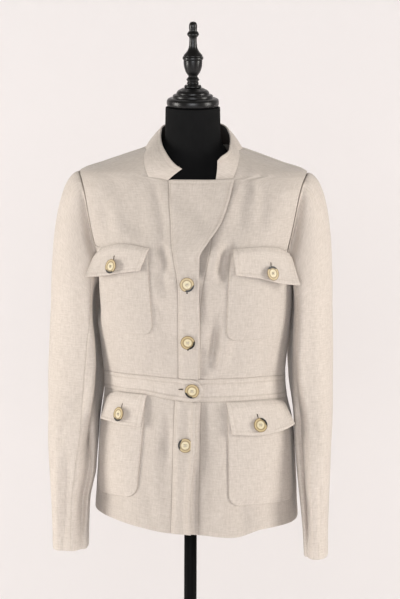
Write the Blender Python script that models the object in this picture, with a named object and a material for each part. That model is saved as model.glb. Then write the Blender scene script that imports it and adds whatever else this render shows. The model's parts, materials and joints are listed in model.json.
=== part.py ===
"""Linen jacket with a waistband and four flapped pockets, buttoned on a limbless dress form.

Metres, +Z up. The origin is on the floor under the pole. The front faces -Y and +X is the wearer's left.
The right front laps over the left one. Angles run round the body: 0 at the left side, -90 at centre front.
"""
import math
from collections import namedtuple

import bmesh
import bpy
import numpy as np
from mathutils import Vector

# Walls, gaps and laps of the cloth
CLOTH = 0.0015
BAND_CLOTH = 0.0020
SEAM_GAP = 0.0004
SLEEVE_SEAM_GAP = 0.0012
PATCH_GAP = 0.0008
ARMHOLE_GAP = 0.0010
UNDERARM_OUT = 0.0030
COLLAR_GAP = 0.0011
LAP = 0.0028
LAP_RISE = 0.009
BAND_PROUD = 0.0004
BAND_LAP = 0.0036

# Levels of the jacket
UNDERARM = 1.200
NECK_EDGE = 1.3695
SHOULDER_TIP = 1.374
NECK_POINT = 1.411
BICEPS = 1.160

# Body of the jacket: each row is one level, half-width across, depth to the front and to the back
Section = namedtuple("Section", "height half_width front back square shift")
BODY = [
    Section(0.780, 0.1650, 0.128, 0.123, 2.20, 0.0095),
    Section(0.880, 0.1600, 0.121, 0.123, 2.25, 0.010),
    Section(0.960, 0.1555, 0.114, 0.112, 2.30, 0.0095),
    Section(1.035, 0.1445, 0.108, 0.096, 2.30, 0.006),
    Section(1.090, 0.1490, 0.114, 0.096, 2.30, 0.005),
    Section(1.150, 0.1560, 0.123, 0.102, 2.30, 0.004),
    Section(1.200, 0.1590, 0.125, 0.108, 2.30, 0.003),
    Section(1.250, 0.1620, 0.117, 0.112, 2.30, 0.003),
    Section(1.300, 0.1760, 0.102, 0.110, 2.30, 0.003),
    Section(1.338, 0.1870, 0.089, 0.104, 2.30, 0.003),
    Section(1.352, 0.1890, 0.084, 0.101, 2.30, 0.003),
    Section(1.374, 0.1810, 0.0755, 0.095, 2.30, 0.003),
    Section(1.386, 0.1480, 0.071, 0.089, 2.30, 0.003),
    Section(1.411, 0.0765, 0.062, 0.070, 2.30, 0.003),
]

# Armhole: how far the hole reaches to the front and to the back of the side line, level by level
Armhole = namedtuple("Armhole", "height front back")
ARMHOLE = [
    Armhole(1.2000, 0.000, 0.000),
    Armhole(1.2045, 0.022, 0.022),
    Armhole(1.2130, 0.036, 0.038),
    Armhole(1.2280, 0.045, 0.050),
    Armhole(1.2500, 0.048, 0.058),
    Armhole(1.2750, 0.0465, 0.061),
    Armhole(1.3000, 0.0465, 0.061),
    Armhole(1.3250, 0.0455, 0.058),
    Armhole(1.3450, 0.0425, 0.053),
    Armhole(1.3580, 0.0365, 0.046),
    Armhole(NECK_EDGE, 0.0210, 0.027),
    Armhole(SHOULDER_TIP, 0.000, 0.000),
]

# Front edges of the bodice, measured across from the centre front
Front = namedtuple("Front", "height seam_right free_edge seam_left")
BODICE_FRONT = [
    Front(1.050, -0.0135, 0.0175, 0.0215),
    Front(1.150, -0.0135, 0.0207, 0.0215),
    Front(1.200, -0.0140, 0.0200, 0.0250),
    Front(1.250, -0.0215, 0.0202, 0.0345),
    Front(1.275, -0.0255, 0.0345, 0.0378),
    Front(1.302, -0.0270, 0.0521, 0.0390),
    Front(1.333, -0.0300, 0.0632, 0.0400),
    Front(1.370, -0.0325, 0.0720, 0.0425),
]
SKIRT_FRONT = [
    Front(0.800, -0.0250, 0.0090, 0.0195),
    Front(0.860, -0.0235, 0.0075, 0.0200),
    Front(0.950, -0.0215, 0.0145, 0.0220),
    Front(1.020, -0.0192, 0.0150, 0.0225),
]
UNDERLAP_EDGE = -0.003
SKIRT_UNDERLAP_EDGE = -0.007
LAPEL_LIFT = 0.0035
LAPEL_SPAN = 0.045
LAPEL_BREAK = 1.240
LAPEL_RISE = 0.040
PLACKET_PLAIN_TOP = 1.235
LAPEL_BOTTOM = 1.250

# Neckline above the front edge, measured across from the middle of the neck
Neck = namedtuple("Neck", "height half_width")
NECKLINE = [
    Neck(1.374, 0.0667),
    Neck(1.385, 0.0710),
    Neck(1.395, 0.0740),
    Neck(1.404, 0.0750),
    Neck(1.411, 0.0725),
]

# Waist seams and hem round the body, by angle in degrees
Waist = namedtuple("Waist", "angle bottom top hem")
WAIST = [
    Waist(-180, 1.0230, 1.0490, 0.830),
    Waist(-150, 1.0290, 1.0575, 0.826),
    Waist(-120, 1.0290, 1.0590, 0.816),
    Waist(-100, 1.0215, 1.0570, 0.808),
    Waist(-88, 1.0185, 1.0555, 0.807),
    Waist(-68, 1.0190, 1.0560, 0.802),
    Waist(-50, 1.0190, 1.0560, 0.812),
    Waist(-30, 1.0170, 1.0540, 0.814),
    Waist(0, 1.0130, 1.0480, 0.815),
    Waist(45, 1.0180, 1.0520, 0.808),
    Waist(90, 1.0220, 1.0560, 0.812),
    Waist(140, 1.0220, 1.0540, 0.819),
    Waist(180, 1.0230, 1.0490, 0.830),
]
WAIST_LEVEL = 1.0555
SKIRT_TOP = 1.0185
HEM_LEVEL = 0.812
TAB_CENTRE = 0.0072

# Large soft folds of the body: a line between two levels, its width in degrees and its depth
Fold = namedtuple("Fold", "bottom bottom_angle top top_angle width depth")
BODY_FOLDS = [
    Fold(1.060, -82, 1.185, -78, 5, -0.0055),
    Fold(1.070, -100, 1.200, -104, 6, -0.0028),
    Fold(1.275, -117, 1.385, -128, 8, -0.0035),
    Fold(1.270, -46, 1.370, -40, 9, 0.0030),
    Fold(0.790, -101, 1.000, -105, 8, -0.0040),
    Fold(0.790, -75, 0.990, -78, 6, 0.0035),
    Fold(0.790, -4, 0.960, -4, 9, -0.0010),
    Fold(0.790, 62, 1.000, 66, 12, 0.0050),
    Fold(0.790, 112, 1.000, 108, 12, 0.0050),
    Fold(0.790, 88, 0.980, 89, 10, -0.0045),
    Fold(1.080, 60, 1.330, 42, 9, -0.0040),
    Fold(1.080, 122, 1.330, 138, 9, -0.0040),
    Fold(1.130, -172, 1.270, -172, 15, -0.0120),
    Fold(1.130, 188, 1.270, 188, 15, -0.0120),
]

# Sleeves: level rings below the biceps, the wearer's right and left. A ring's front is slanted to face outward and
# seams are angles from the body side. The tuck is how far the inner back lies in behind the body, and the lean is how
# far the inner front stands away from it
Ring = namedtuple(
    "Ring", "height centre_x centre_y half_width half_depth square slant front_seam back_seam tuck lean")
SLEEVE_RIGHT = [
    Ring(0.772, -0.1892, -0.060, 0.0270, 0.045, 3.2, 0.14, 88, 285, 0.000, 0.000),
    Ring(0.845, -0.1895, -0.055, 0.0298, 0.048, 3.1, 0.16, 86, 290, 0.000, 0.000),
    Ring(0.900, -0.1867, -0.050, 0.0363, 0.051, 3.0, 0.18, 85, 295, 0.002, -0.002),
    Ring(0.960, -0.1872, -0.034, 0.0389, 0.055, 2.9, 0.22, 82, 300, 0.010, -0.010),
    Ring(1.040, -0.1897, -0.010, 0.0387, 0.058, 2.8, 0.28, 85, 302, 0.036, -0.030),
    Ring(1.100, -0.1910, 0.000, 0.0360, 0.060, 2.7, 0.32, 82, 304, 0.040, -0.036),
    Ring(1.160, -0.1933, 0.008, 0.0321, 0.060, 2.7, 0.29, 58, 306, 0.038, -0.026),
]
SLEEVE_LEFT = [
    Ring(0.765, 0.2050, -0.058, 0.0181, 0.047, 3.2, 0.12, 52, 300, 0.000, 0.002),
    Ring(0.835, 0.2022, -0.053, 0.0210, 0.050, 3.1, 0.14, 51, 302, 0.000, 0.004),
    Ring(0.908, 0.1993, -0.047, 0.0265, 0.053, 3.0, 0.16, 55, 304, 0.002, 0.008),
    Ring(0.985, 0.1970, -0.022, 0.0304, 0.057, 2.9, 0.20, 58, 304, 0.012, 0.008),
    Ring(1.040, 0.1956, -0.008, 0.0323, 0.059, 2.8, 0.28, 53, 304, 0.028, 0.005),
    Ring(1.100, 0.1954, 0.000, 0.0317, 0.060, 2.7, 0.34, 52, 304, 0.034, 0.002),
    Ring(1.160, 0.1955, 0.008, 0.0300, 0.060, 2.6, 0.36, 50, 306, 0.033, 0.000),
]
TUCK_POWER = 1.5
SLEEVE_ROWS = 9
CAP_STEPS = [0.0, 0.10, 0.22, 0.36, 0.54, 0.76, 1.0]
FRONT_SEAM_LEVEL = 1.2500
BACK_SEAM_LEVEL = 1.2750
CAP_REACH_TOP = 0.114
CAP_REACH_UNDER = 0.012
CAP_REACH_POWER = 1.5
CAP_DROP_TOP = 0.015
CAP_DROP_UNDER = 0.032
CAP_FALL = 1.1

# Long folds of a hanging sleeve: levels, place round the sleeve in degrees from the body side, depth
SLEEVE_FOLDS = [
    Fold(0.780, 108, 1.200, 78, 16, -0.0018),
    Fold(0.850, 62, 1.130, 50, 13, 0.0020),
    Fold(0.770, 236, 1.100, 228, 16, -0.0050),
    Fold(0.820, 276, 1.150, 270, 14, 0.0040),
    Fold(1.230, 128, 1.345, 136, 12, -0.0030),
]

# Stand collar: the line of its top edge, from the front end to the centre back
Rim = namedtuple("Rim", "station across depth height")
COLLAR_RIGHT = [
    Rim(0.00, -0.0101, -0.0860, 1.3884),
    Rim(0.07, -0.0196, -0.0800, 1.3936),
    Rim(0.14, -0.0282, -0.0700, 1.4002),
    Rim(0.22, -0.0372, -0.0550, 1.4102),
    Rim(0.30, -0.0445, -0.0350, 1.4197),
    Rim(0.37, -0.0481, -0.0150, 1.4285),
    Rim(0.45, -0.0503, 0.0100, 1.4368),
    Rim(0.55, -0.0483, 0.0320, 1.4423),
    Rim(0.75, -0.0289, 0.0550, 1.4463),
    Rim(1.00, 0.0006, 0.0600, 1.4484),
]
COLLAR_LEFT = [
    Rim(0.00, 0.0452, -0.0720, 1.4005),
    Rim(0.07, 0.0513, -0.0680, 1.4069),
    Rim(0.14, 0.0587, -0.0580, 1.4112),
    Rim(0.21, 0.0627, -0.0450, 1.4160),
    Rim(0.29, 0.0624, -0.0220, 1.4233),
    Rim(0.37, 0.0608, 0.0000, 1.4319),
    Rim(0.46, 0.0571, 0.0200, 1.4383),
    Rim(0.58, 0.0496, 0.0400, 1.4436),
    Rim(0.76, 0.0323, 0.0550, 1.4469),
    Rim(1.00, 0.0006, 0.0600, 1.4484),
]
COLLAR_BULGE = 0.0020
COLLAR_ROWS = 3

# Patch pockets: inner edge at the bottom and top, side angle of the outer edge, levels, corner and fullness
Pocket = namedtuple("Pocket", "node side inner_bottom inner_top outer bottom top corner fullness")
POCKETS = [
    Pocket("pocket_upper_right", -1, -0.0530, -0.0620, 24, 1.127, 1.259, 0.016, 0.0035),
    Pocket("pocket_upper_left", 1, 0.0622, 0.0670, 24, 1.119, 1.256, 0.016, 0.0035),
    Pocket("pocket_lower_right", -1, -0.0790, -0.0660, 17, 0.862, 1.014, 0.018, 0.0060),
    Pocket("pocket_lower_left", 1, 0.0668, 0.0645, 17, 0.853, 1.004, 0.018, 0.0060),
]

# Flaps over the pockets: edges by share of the width, from the inner end to the outer end
Flap = namedtuple(
    "Flap", "node side inner inner_low outer tops bottoms lift spread aside button_share button_level")
FLAPS = [
    Flap("flap_upper_right", -1, -0.0590, -0.0715, 23, (1.264, 1.269, 1.262, 1.246),
         (1.228, 1.2225, 1.2165, 1.2145), 0.0050, 0.032, 0.0100, 0.45, 1.233),
    Flap("flap_upper_left", 1, 0.0715, 0.0745, 23, (1.264, 1.266, 1.263, 1.251),
         (1.223, 1.2175, 1.2085, 1.2045), 0.0050, 0.026, 0.0155, 0.53, 1.2245),
    Flap("flap_lower_right", -1, -0.0630, -0.0705, 27, (1.0280, 1.0280, 1.0275, 1.0215),
         (0.976, 0.977, 0.9795, 0.982), 0.0080, 0.010, 0.0000, 0.46, 0.994),
    Flap("flap_lower_left", 1, 0.0620, 0.0705, 20, (1.0175, 1.0175, 1.0160, 1.0120),
         (0.967, 0.964, 0.9675, 0.976), 0.0080, 0.026, 0.0085, 0.38, 0.981),
]
FLAP_STEP = 0.0032
FLAP_HINGE = 0.18
FLAP_SPREAD_POWER = 2.5

# Buttons: horn discs with a raised rim; the front ones by level and distance from the centre front
BUTTON_RADIUS = 0.0115
BUTTON_RIM = 0.0022
BUTTON_THICK = 0.0038
BUTTON_SINK = 0.0011
BUTTON_SIDES = 16
FrontButton = namedtuple("FrontButton", "node across height lap")
FRONT_BUTTONS = [
    FrontButton("button_front_1", 0.0011, 1.2093, LAP),
    FrontButton("button_front_2", 0.0023, 1.1174, LAP),
    FrontButton("button_front_3", 0.0087, 1.0372, BAND_LAP + BAND_PROUD),
    FrontButton("button_front_4", -0.0015, 0.9498, LAP),
]
BUTTON_CLEAR = 0.0009

# Dress form: torso and neck, level by level, then the turned cap and finial, the pole and the base
FORM = [
    Section(0.846, 0.1500, 0.109, 0.110, 2.20, 0.006),
    Section(0.880, 0.1480, 0.108, 0.110, 2.20, 0.006),
    Section(0.960, 0.1395, 0.100, 0.099, 2.25, 0.006),
    Section(1.035, 0.1325, 0.095, 0.083, 2.25, 0.006),
    Section(1.090, 0.1370, 0.101, 0.083, 2.25, 0.005),
    Section(1.150, 0.1415, 0.110, 0.089, 2.25, 0.004),
    Section(1.200, 0.1405, 0.111, 0.095, 2.25, 0.003),
    Section(1.250, 0.1430, 0.103, 0.099, 2.25, 0.003),
    Section(1.300, 0.1540, 0.088, 0.097, 2.25, 0.003),
    Section(1.335, 0.1600, 0.076, 0.091, 2.25, 0.003),
    Section(1.362, 0.1600, 0.0665, 0.082, 2.25, 0.003),
    Section(1.378, 0.1180, 0.060, 0.072, 2.20, 0.003),
    Section(1.394, 0.0740, 0.053, 0.060, 2.10, 0.003),
    Section(1.408, 0.0540, 0.0480, 0.050, 2.00, 0.002),
    Section(1.430, 0.0445, 0.0445, 0.0445, 2.00, 0.0015),
    Section(1.477, 0.0436, 0.0436, 0.0436, 2.00, 0.0015),
]
FORM_SIDES = 32
FORM_BOTTOM = FORM[0].height
FORM_SHOULDER = 1.340
NECK_TOP = FORM[-1].height
NECK_AXIS = 0.0015
PIECE_GAP = 0.0003

# Turned outlines, radius and height above the piece's foot
Turn = namedtuple("Turn", "radius height")
CAP = [Turn(0.0, 0.0), Turn(0.0385, 0.0), Turn(0.0409, 0.0022), Turn(0.0417, 0.0068), Turn(0.0409, 0.0115),
       Turn(0.0385, 0.0140), Turn(0.0330, 0.0145), Turn(0.0318, 0.0190), Turn(0.0275, 0.0228),
       Turn(0.0205, 0.0275), Turn(0.0175, 0.0300), Turn(0.0, 0.0300)]
FINIAL = [Turn(0.0, 0.0), Turn(0.0130, 0.0), Turn(0.0139, 0.0022), Turn(0.0130, 0.0047), Turn(0.0088, 0.0050),
          Turn(0.0098, 0.0078), Turn(0.0090, 0.0106), Turn(0.0104, 0.0135), Turn(0.0092, 0.0164),
          Turn(0.0076, 0.0190), Turn(0.0117, 0.0260), Turn(0.0146, 0.0350), Turn(0.0154, 0.0460),
          Turn(0.0166, 0.0468), Turn(0.0166, 0.0514), Turn(0.0152, 0.0540), Turn(0.0098, 0.0600),
          Turn(0.0066, 0.0660), Turn(0.0062, 0.0820), Turn(0.0090, 0.0835), Turn(0.0096, 0.0872),
          Turn(0.0090, 0.0908), Turn(0.0064, 0.0922), Turn(0.0065, 0.1005), Turn(0.0046, 0.1048),
          Turn(0.0, 0.1062)]
POLE_RADIUS = 0.0102
BASE_RADIUS = 0.180
BASE_HEIGHT = 0.040
BASE = [Turn(0.0, 0.0), Turn(BASE_RADIUS, 0.0), Turn(BASE_RADIUS, 0.010), Turn(BASE_RADIUS - 0.006, 0.016),
        Turn(0.100, 0.021), Turn(0.034, 0.026), Turn(0.022, 0.032), Turn(0.020, BASE_HEIGHT),
        Turn(0.0, BASE_HEIGHT)]
TURNED_SIDES = 24

# Finishes seen in the photograph
Finish = namedtuple("Finish", "colour roughness metallic")
FINISHES = {
    "linen": Finish((0.60, 0.525, 0.455), 0.90, 0.0),
    "horn": Finish((0.56, 0.47, 0.32), 0.38, 0.0),
    "form_cloth": Finish((0.010, 0.010, 0.010), 0.85, 0.0),
    "gloss_black": Finish((0.014, 0.013, 0.014), 0.18, 0.0),
    "black_metal": Finish((0.012, 0.012, 0.012), 0.38, 0.0),
}


def curve(places, values, at):
    """Smooth curve through the values, without overshoot, read at any places."""
    places = np.asarray(places, float)
    values = np.asarray(values, float)
    steps = np.diff(places)
    slopes = np.diff(values) / steps
    tangents = np.concatenate([slopes[:1], np.zeros(len(slopes) - 1), slopes[-1:]])
    rising = slopes[:-1] * slopes[1:] > 0
    total = np.where(rising, slopes[:-1] + slopes[1:], 1.0)
    tangents[1:-1] = np.where(rising, 2 * slopes[:-1] * slopes[1:] / total, 0.0)
    spot = np.clip(np.searchsorted(places, at, side="right") - 1, 0, len(steps) - 1)
    part = np.clip((at - places[spot]) / steps[spot], 0.0, 1.0)
    rest = 1 - part
    return (values[spot] * (1 + 2 * part) * rest**2 + values[spot + 1] * (3 - 2 * part) * part**2
            + steps[spot] * part * rest * (tangents[spot] * rest - tangents[spot + 1] * part))


def column(table, name, at):
    """One column of a table, read smoothly by the table's first column."""
    first = table[0]._fields[0]
    places = [getattr(row, first) for row in table]
    values = [getattr(row, name) for row in table]
    return curve(places, values, np.asarray(at, float))


def ease(share):
    """Soft step from 0 to 1."""
    share = np.clip(share, 0.0, 1.0)
    return share * share * (3 - 2 * share)


def signed_power(value, power):
    return np.sign(value) * np.abs(value) ** power


def skin(table, angle, height):
    """Plain surface of a table of sections, before folds."""
    turn = 2 / column(table, "square", height)
    across = column(table, "half_width", height) * signed_power(np.cos(angle), turn)
    sine = np.sin(angle)
    reach = np.where(sine < 0, column(table, "front", height), column(table, "back", height))
    depth = reach * signed_power(sine, turn)
    return np.stack([across + column(table, "shift", height), depth, height], axis=-1)


def unit(vectors):
    return vectors / np.linalg.norm(vectors, axis=-1, keepdims=True)


def fold_depth(folds, angle, height):
    """Sum of the soft folds at each place."""
    degrees = np.degrees(angle)
    total = np.zeros(np.shape(degrees))
    for fold in folds:
        share = np.clip((height - fold.bottom) / (fold.top - fold.bottom), 0.0, 1.0)
        line = fold.bottom_angle + (fold.top_angle - fold.bottom_angle) * share
        fade = ease(4 * (1 - share)) * ease(4 * share + (fold.bottom < HEM_LEVEL))
        total = total + fold.depth * fade * np.exp(-((degrees - line) / fold.width) ** 2)
    return total


def body(angle, height, out=0.0):
    """Points and normals on the middle of the jacket's cloth, moved out along the normal."""
    angle, height = np.broadcast_arrays(np.asarray(angle, float), np.asarray(height, float))
    turn, rise = 0.002, 0.0005
    along = skin(BODY, angle + turn, height) - skin(BODY, angle - turn, height)
    up = skin(BODY, angle, height + rise) - skin(BODY, angle, height - rise)
    normals = unit(np.cross(along, up))
    offset = np.asarray(out + fold_depth(BODY_FOLDS, angle, height))
    return skin(BODY, angle, height) + normals * offset[..., None], normals


def front_angle(across, height):
    """Angle of a place on the front, from its distance across."""
    reach = (across - column(BODY, "shift", height)) / column(BODY, "half_width", height)
    return -np.arccos(np.clip(signed_power(reach, column(BODY, "square", height) / 2), -1.0, 1.0))


def across_front(angle, height):
    return skin(BODY, angle, height)[..., 0]


def mirrored(angle, side):
    """Angle on the wearer's left turned into the matching one on the given side."""
    return angle if side > 0 else -math.pi - angle


def armhole_angle(height, face):
    """Angle from the left side line to the armhole's edge, on the front or on the back."""
    reach = np.where(height > UNDERARM, column(ARMHOLE, face, height), 0.0)
    reach = np.where(height >= SHOULDER_TIP, 0.0, reach)
    share = np.clip(reach / column(BODY, face, height), 0.0, 1.0)
    return np.arcsin(share ** (column(BODY, "square", height) / 2))


def waist_line(name, angle):
    """Level of a waist seam or of the hem at each angle."""
    return column(WAIST, name, (np.degrees(angle) + 180) % 360 - 180)


def settle(angle, height):
    """Bring bodice rows below the underarm down onto the waistband's upper seam."""
    share = np.clip((UNDERARM - height) / (UNDERARM - WAIST_LEVEL), 0.0, 1.0)
    return height + (waist_line("top", angle) - WAIST_LEVEL) * share


def trimmed(points, edges, gap):
    """Draw the named edges of a grid of points back by half a seam gap."""
    points = points.copy()
    for edge in edges:
        end, inner = {"first_row": ((0,), (1,)), "last_row": ((-1,), (-2,)),
                      "first_column": ((slice(None), 0), (slice(None), 1)),
                      "last_column": ((slice(None), -1), (slice(None), -2))}[edge]
        points[end] = points[end] + unit(points[inner] - points[end]) * gap / 2
    return points


ALL_EDGES = ("first_row", "last_row", "first_column", "last_column")


def finish_material(node, slot):
    look = FINISHES[slot]
    material = bpy.data.materials.new(f"{node}_{slot}")
    material.use_nodes = True
    shader = material.node_tree.nodes["Principled BSDF"]
    shader.inputs["Base Color"].default_value = (*look.colour, 1.0)
    shader.inputs["Roughness"].default_value = look.roughness
    shader.inputs["Metallic"].default_value = look.metallic
    return material


def add_piece(node, shape, slot, crease=40):
    """Turn a finished shape into a named, smooth-shaded object."""
    bmesh.ops.recalc_face_normals(shape, faces=shape.faces)
    mesh = bpy.data.meshes.new(node)
    shape.to_mesh(mesh)
    shape.free()
    mesh.shade_smooth()
    mesh.set_sharp_from_angle(angle=math.radians(crease))
    mesh.materials.append(finish_material(node, slot))
    piece = bpy.data.objects.new(node, mesh)
    bpy.context.scene.collection.objects.link(piece)
    return piece


def cloth_piece(node, points, normals, wall=CLOTH, edges=ALL_EDGES, gap=SEAM_GAP):
    """Wall of cloth on a grid of points: the inner face is a grid and the outer face is drawn out of it."""
    points = trimmed(points, edges, gap)
    rows, columns = points.shape[:2]
    inner = (points - normals * wall / 2).reshape(-1, 3)
    outer = (points + normals * wall / 2).reshape(-1, 3)
    shape = bmesh.new()
    place = shape.verts.layers.int.new("place")
    grid = bmesh.ops.create_grid(shape, x_segments=columns - 1, y_segments=rows - 1, size=1.0)
    for index, vertex in enumerate(grid["verts"]):
        vertex[place] = index
        vertex.co = inner[index]
    drawn = bmesh.ops.extrude_face_region(shape, geom=shape.faces[:])
    for vertex in drawn["geom"]:
        if isinstance(vertex, bmesh.types.BMVert):
            vertex.co = outer[vertex[place]]
    return add_piece(node, shape, "linen")


def turned_piece(node, outline, slot, foot, sides=TURNED_SIDES, middle=NECK_AXIS):
    """Piece turned on a vertical axis from its outline."""
    shape = bmesh.new()
    points = [shape.verts.new((turn.radius, 0.0, turn.height)) for turn in outline]
    lines = [shape.edges.new(pair) for pair in zip(points[:-1], points[1:])]
    bmesh.ops.spin(shape, geom=points + lines, cent=(0, 0, 0), axis=(0, 0, 1), angle=math.tau, steps=sides,
                   use_merge=True)
    bmesh.ops.remove_doubles(shape, verts=shape.verts, dist=1e-6)
    piece = add_piece(node, shape, slot)
    piece.location = (middle, 0.0, foot)
    return piece


def between(start, end, columns):
    """Columns evenly spaced from a start to an end that both change row by row."""
    share = np.linspace(0.0, 1.0, columns + 1)
    return start[:, None] * (1 - share) + end[:, None] * share


def bodice_levels():
    low = np.linspace(WAIST_LEVEL, UNDERARM, 6)
    armhole = [row.height for row in ARMHOLE[1:]]
    shoulder = np.linspace(SHOULDER_TIP, NECK_POINT, 6)[1:]
    return np.concatenate([low, armhole, shoulder])


def seam_across(name, levels, table=BODICE_FRONT):
    return column(table, name, levels)


def lap_out(across, seam, lap):
    """How far the right front stands out over the left one, rising from its seam."""
    return lap * ease((across - seam) / LAP_RISE)


def make_bodice():
    levels = bodice_levels()
    back = between(armhole_angle(levels, "back"), math.pi - armhole_angle(levels, "back"), 14)
    points, normals = body(back, settle(back, levels[:, None] + 0 * back))
    cloth_piece("back_bodice", points, normals)
    above = levels > NECK_EDGE
    neck_middle = column(BODY, "shift", levels)
    neck_half = column(NECKLINE, "half_width", levels)
    for node, side, seam in (("front_bodice_right", -1, "seam_right"), ("front_bodice_left", 1, "seam_left")):
        inner = np.where(above, neck_middle + side * neck_half, seam_across(seam, levels))
        outer = mirrored(-armhole_angle(levels, "front"), side)
        angle = between(front_angle(inner, levels), outer, 11)
        points, normals = body(angle, settle(angle, levels[:, None] + 0 * angle))
        cloth_piece(node, points, normals)


def placket_out(angle, height):
    """Stand-off of the right placket, with the free edge of the lapel lifting at the top."""
    across = across_front(angle, height)
    edge = seam_across("free_edge", height)
    toward_edge = ease((across - edge + LAPEL_SPAN) / LAPEL_SPAN)
    lift = LAPEL_LIFT * toward_edge * ease((height - LAPEL_BREAK) / LAPEL_RISE)
    return lap_out(across, seam_across("seam_right", height), LAP) + lift


def make_bodice_plackets():
    plain = np.linspace(WAIST_LEVEL, PLACKET_PLAIN_TOP, 8)
    levels = np.concatenate([plain, np.linspace(LAPEL_BOTTOM, NECK_EDGE, 9)])
    angle = between(front_angle(seam_across("seam_right", levels), levels),
                    front_angle(seam_across("free_edge", levels), levels), 6)
    rows = levels[:, None] + 0 * angle
    points, normals = body(angle, settle(angle, rows), placket_out(angle, rows))
    cloth_piece("placket_bodice_right", points, normals)
    angle = between(front_angle(UNDERLAP_EDGE + 0 * levels, levels),
                    front_angle(seam_across("seam_left", levels), levels), 4)
    points, normals = body(angle, settle(angle, levels[:, None] + 0 * angle))
    cloth_piece("placket_bodice_left", points, normals)


def band_levels(angle, share):
    low, high = waist_line("bottom", angle), waist_line("top", angle)
    return low + (high - low) * share


def make_waistband():
    share = np.linspace(0.0, 1.0, 3)
    angle = np.broadcast_to(np.linspace(0.0, math.pi, 15), (3, 15))
    points, normals = body(angle, band_levels(angle, share[:, None]), BAND_PROUD)
    cloth_piece("waistband_back", points, normals, BAND_CLOTH)

    ends = front_angle(UNDERLAP_EDGE + 0 * share, WAIST_LEVEL)
    angle = between(ends, 0 * share, 9)
    points, normals = body(angle, band_levels(angle, share[:, None]), BAND_PROUD)
    cloth_piece("waistband_left", points, normals, BAND_CLOTH)

    share = 0.5 - 0.5 * np.cos(np.linspace(0.0, math.pi, 9))
    half_band = (waist_line("top", -math.pi / 2) - waist_line("bottom", -math.pi / 2)) / 2
    tab_end = TAB_CENTRE + half_band * np.sqrt(1 - (2 * share - 1) ** 2)
    seam = seam_across("seam_right", WAIST_LEVEL)
    stops = [np.full(9, -math.pi), front_angle(seam + 0 * share, WAIST_LEVEL),
             front_angle(seam + LAP_RISE + 0 * share, WAIST_LEVEL), front_angle(tab_end, WAIST_LEVEL)]
    angle = np.concatenate([between(stops[0], stops[1], 8), between(stops[1], stops[2], 2)[:, 1:],
                            between(stops[2], stops[3], 3)[:, 1:]], axis=1)
    out = BAND_PROUD + lap_out(across_front(angle, WAIST_LEVEL + 0 * angle), seam, BAND_LAP)
    points, normals = body(angle, band_levels(angle, share[:, None]), out)
    cloth_piece("waistband_right", points, normals, BAND_CLOTH)


def skirt_levels(angle, share):
    low, high = waist_line("hem", angle), waist_line("bottom", angle)
    return low + (high - low) * share


def make_skirt():
    share = np.linspace(0.0, 1.0, 8)
    levels = HEM_LEVEL + (SKIRT_TOP - HEM_LEVEL) * share

    def panel(node, start, end, columns, lap=0.0):
        angle = between(start, end, columns)
        out = lap_out(across_front(angle, levels[:, None] + 0 * angle), seam_right[:, None], lap)
        points, normals = body(angle, skirt_levels(angle, share[:, None]), out)
        cloth_piece(node, points, normals)

    seam_right = seam_across("seam_right", levels, SKIRT_FRONT)
    seam_left = front_angle(seam_across("seam_left", levels, SKIRT_FRONT), levels)
    free_edge = front_angle(seam_across("free_edge", levels, SKIRT_FRONT), levels)
    panel("skirt_back", 0 * share, 0 * share + math.pi, 16)
    panel("skirt_right", 0 * share - math.pi, front_angle(seam_right, levels), 11)
    panel("skirt_left", seam_left, 0 * share, 11)
    panel("placket_skirt_right", front_angle(seam_right, levels), free_edge, 5, LAP)
    panel("placket_skirt_left", front_angle(SKIRT_UNDERLAP_EDGE + 0 * levels, levels), seam_left, 3)


def collar_base(side):
    """Neck seam from the front end round to the centre back, on one side."""
    levels = np.linspace(SHOULDER_TIP, NECK_POINT, 6)
    middle = column(BODY, "shift", levels)
    climb = front_angle(middle + side * column(NECKLINE, "half_width", levels), levels)
    start = front_angle(seam_across("seam_right" if side < 0 else "seam_left", NECK_EDGE), NECK_EDGE)
    front = body(start, NECK_EDGE)[0] + np.linspace(0, 1, 4)[:-1, None] * (
        body(climb[0], SHOULDER_TIP)[0] - body(start, NECK_EDGE)[0])
    back = mirrored(np.linspace(0.0, math.pi / 2, 8), side)
    return np.concatenate([front, body(climb, levels)[0], body(back, NECK_POINT)[0]])


def collar_half(side):
    """Grid of the collar on one side, rows from the neck seam to the top edge."""
    base = collar_base(side)
    steps = np.linalg.norm(np.diff(base, axis=0), axis=1)
    station = np.concatenate([[0.0], np.cumsum(steps)]) / np.sum(steps)
    table = COLLAR_RIGHT if side < 0 else COLLAR_LEFT
    rim = np.stack([column(table, name, station) for name in ("across", "depth", "height")], axis=-1)
    lean = rim - base
    share = np.linspace(0.0, 1.0, COLLAR_ROWS + 1)[:, None, None]
    outward = unit(base * [1, 1, 0])
    seam = base + unit(lean) * COLLAR_GAP
    return seam + (rim - seam) * share + outward * COLLAR_BULGE * np.sin(math.pi * share)


def grid_normals(points, wrap=False):
    """Normals of a grid of points from its own neighbours."""
    if wrap:
        points = np.concatenate([points[:, -2:-1], points, points[:, 1:2]], axis=1)
    along = np.gradient(points, axis=1)
    up = np.gradient(points, axis=0)
    normals = unit(np.cross(along, up))
    return normals[:, 1:-1] if wrap else normals


def make_collar():
    right, left = collar_half(-1), collar_half(1)
    points = np.concatenate([right, left[:, -2::-1]], axis=1)
    cloth_piece("collar", points, grid_normals(points), edges=())


def armhole_loop(side):
    """Armhole edge from the underarm up the front, over the shoulder tip and down the back."""
    levels = np.array([row.height for row in ARMHOLE])
    front = mirrored(-armhole_angle(levels, "front"), side)
    back = mirrored(armhole_angle(levels, "back"), side)
    angle = np.concatenate([front, back[-2::-1]])
    height = np.concatenate([levels, levels[-2::-1]])
    return body(angle, height)[0], height


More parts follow.
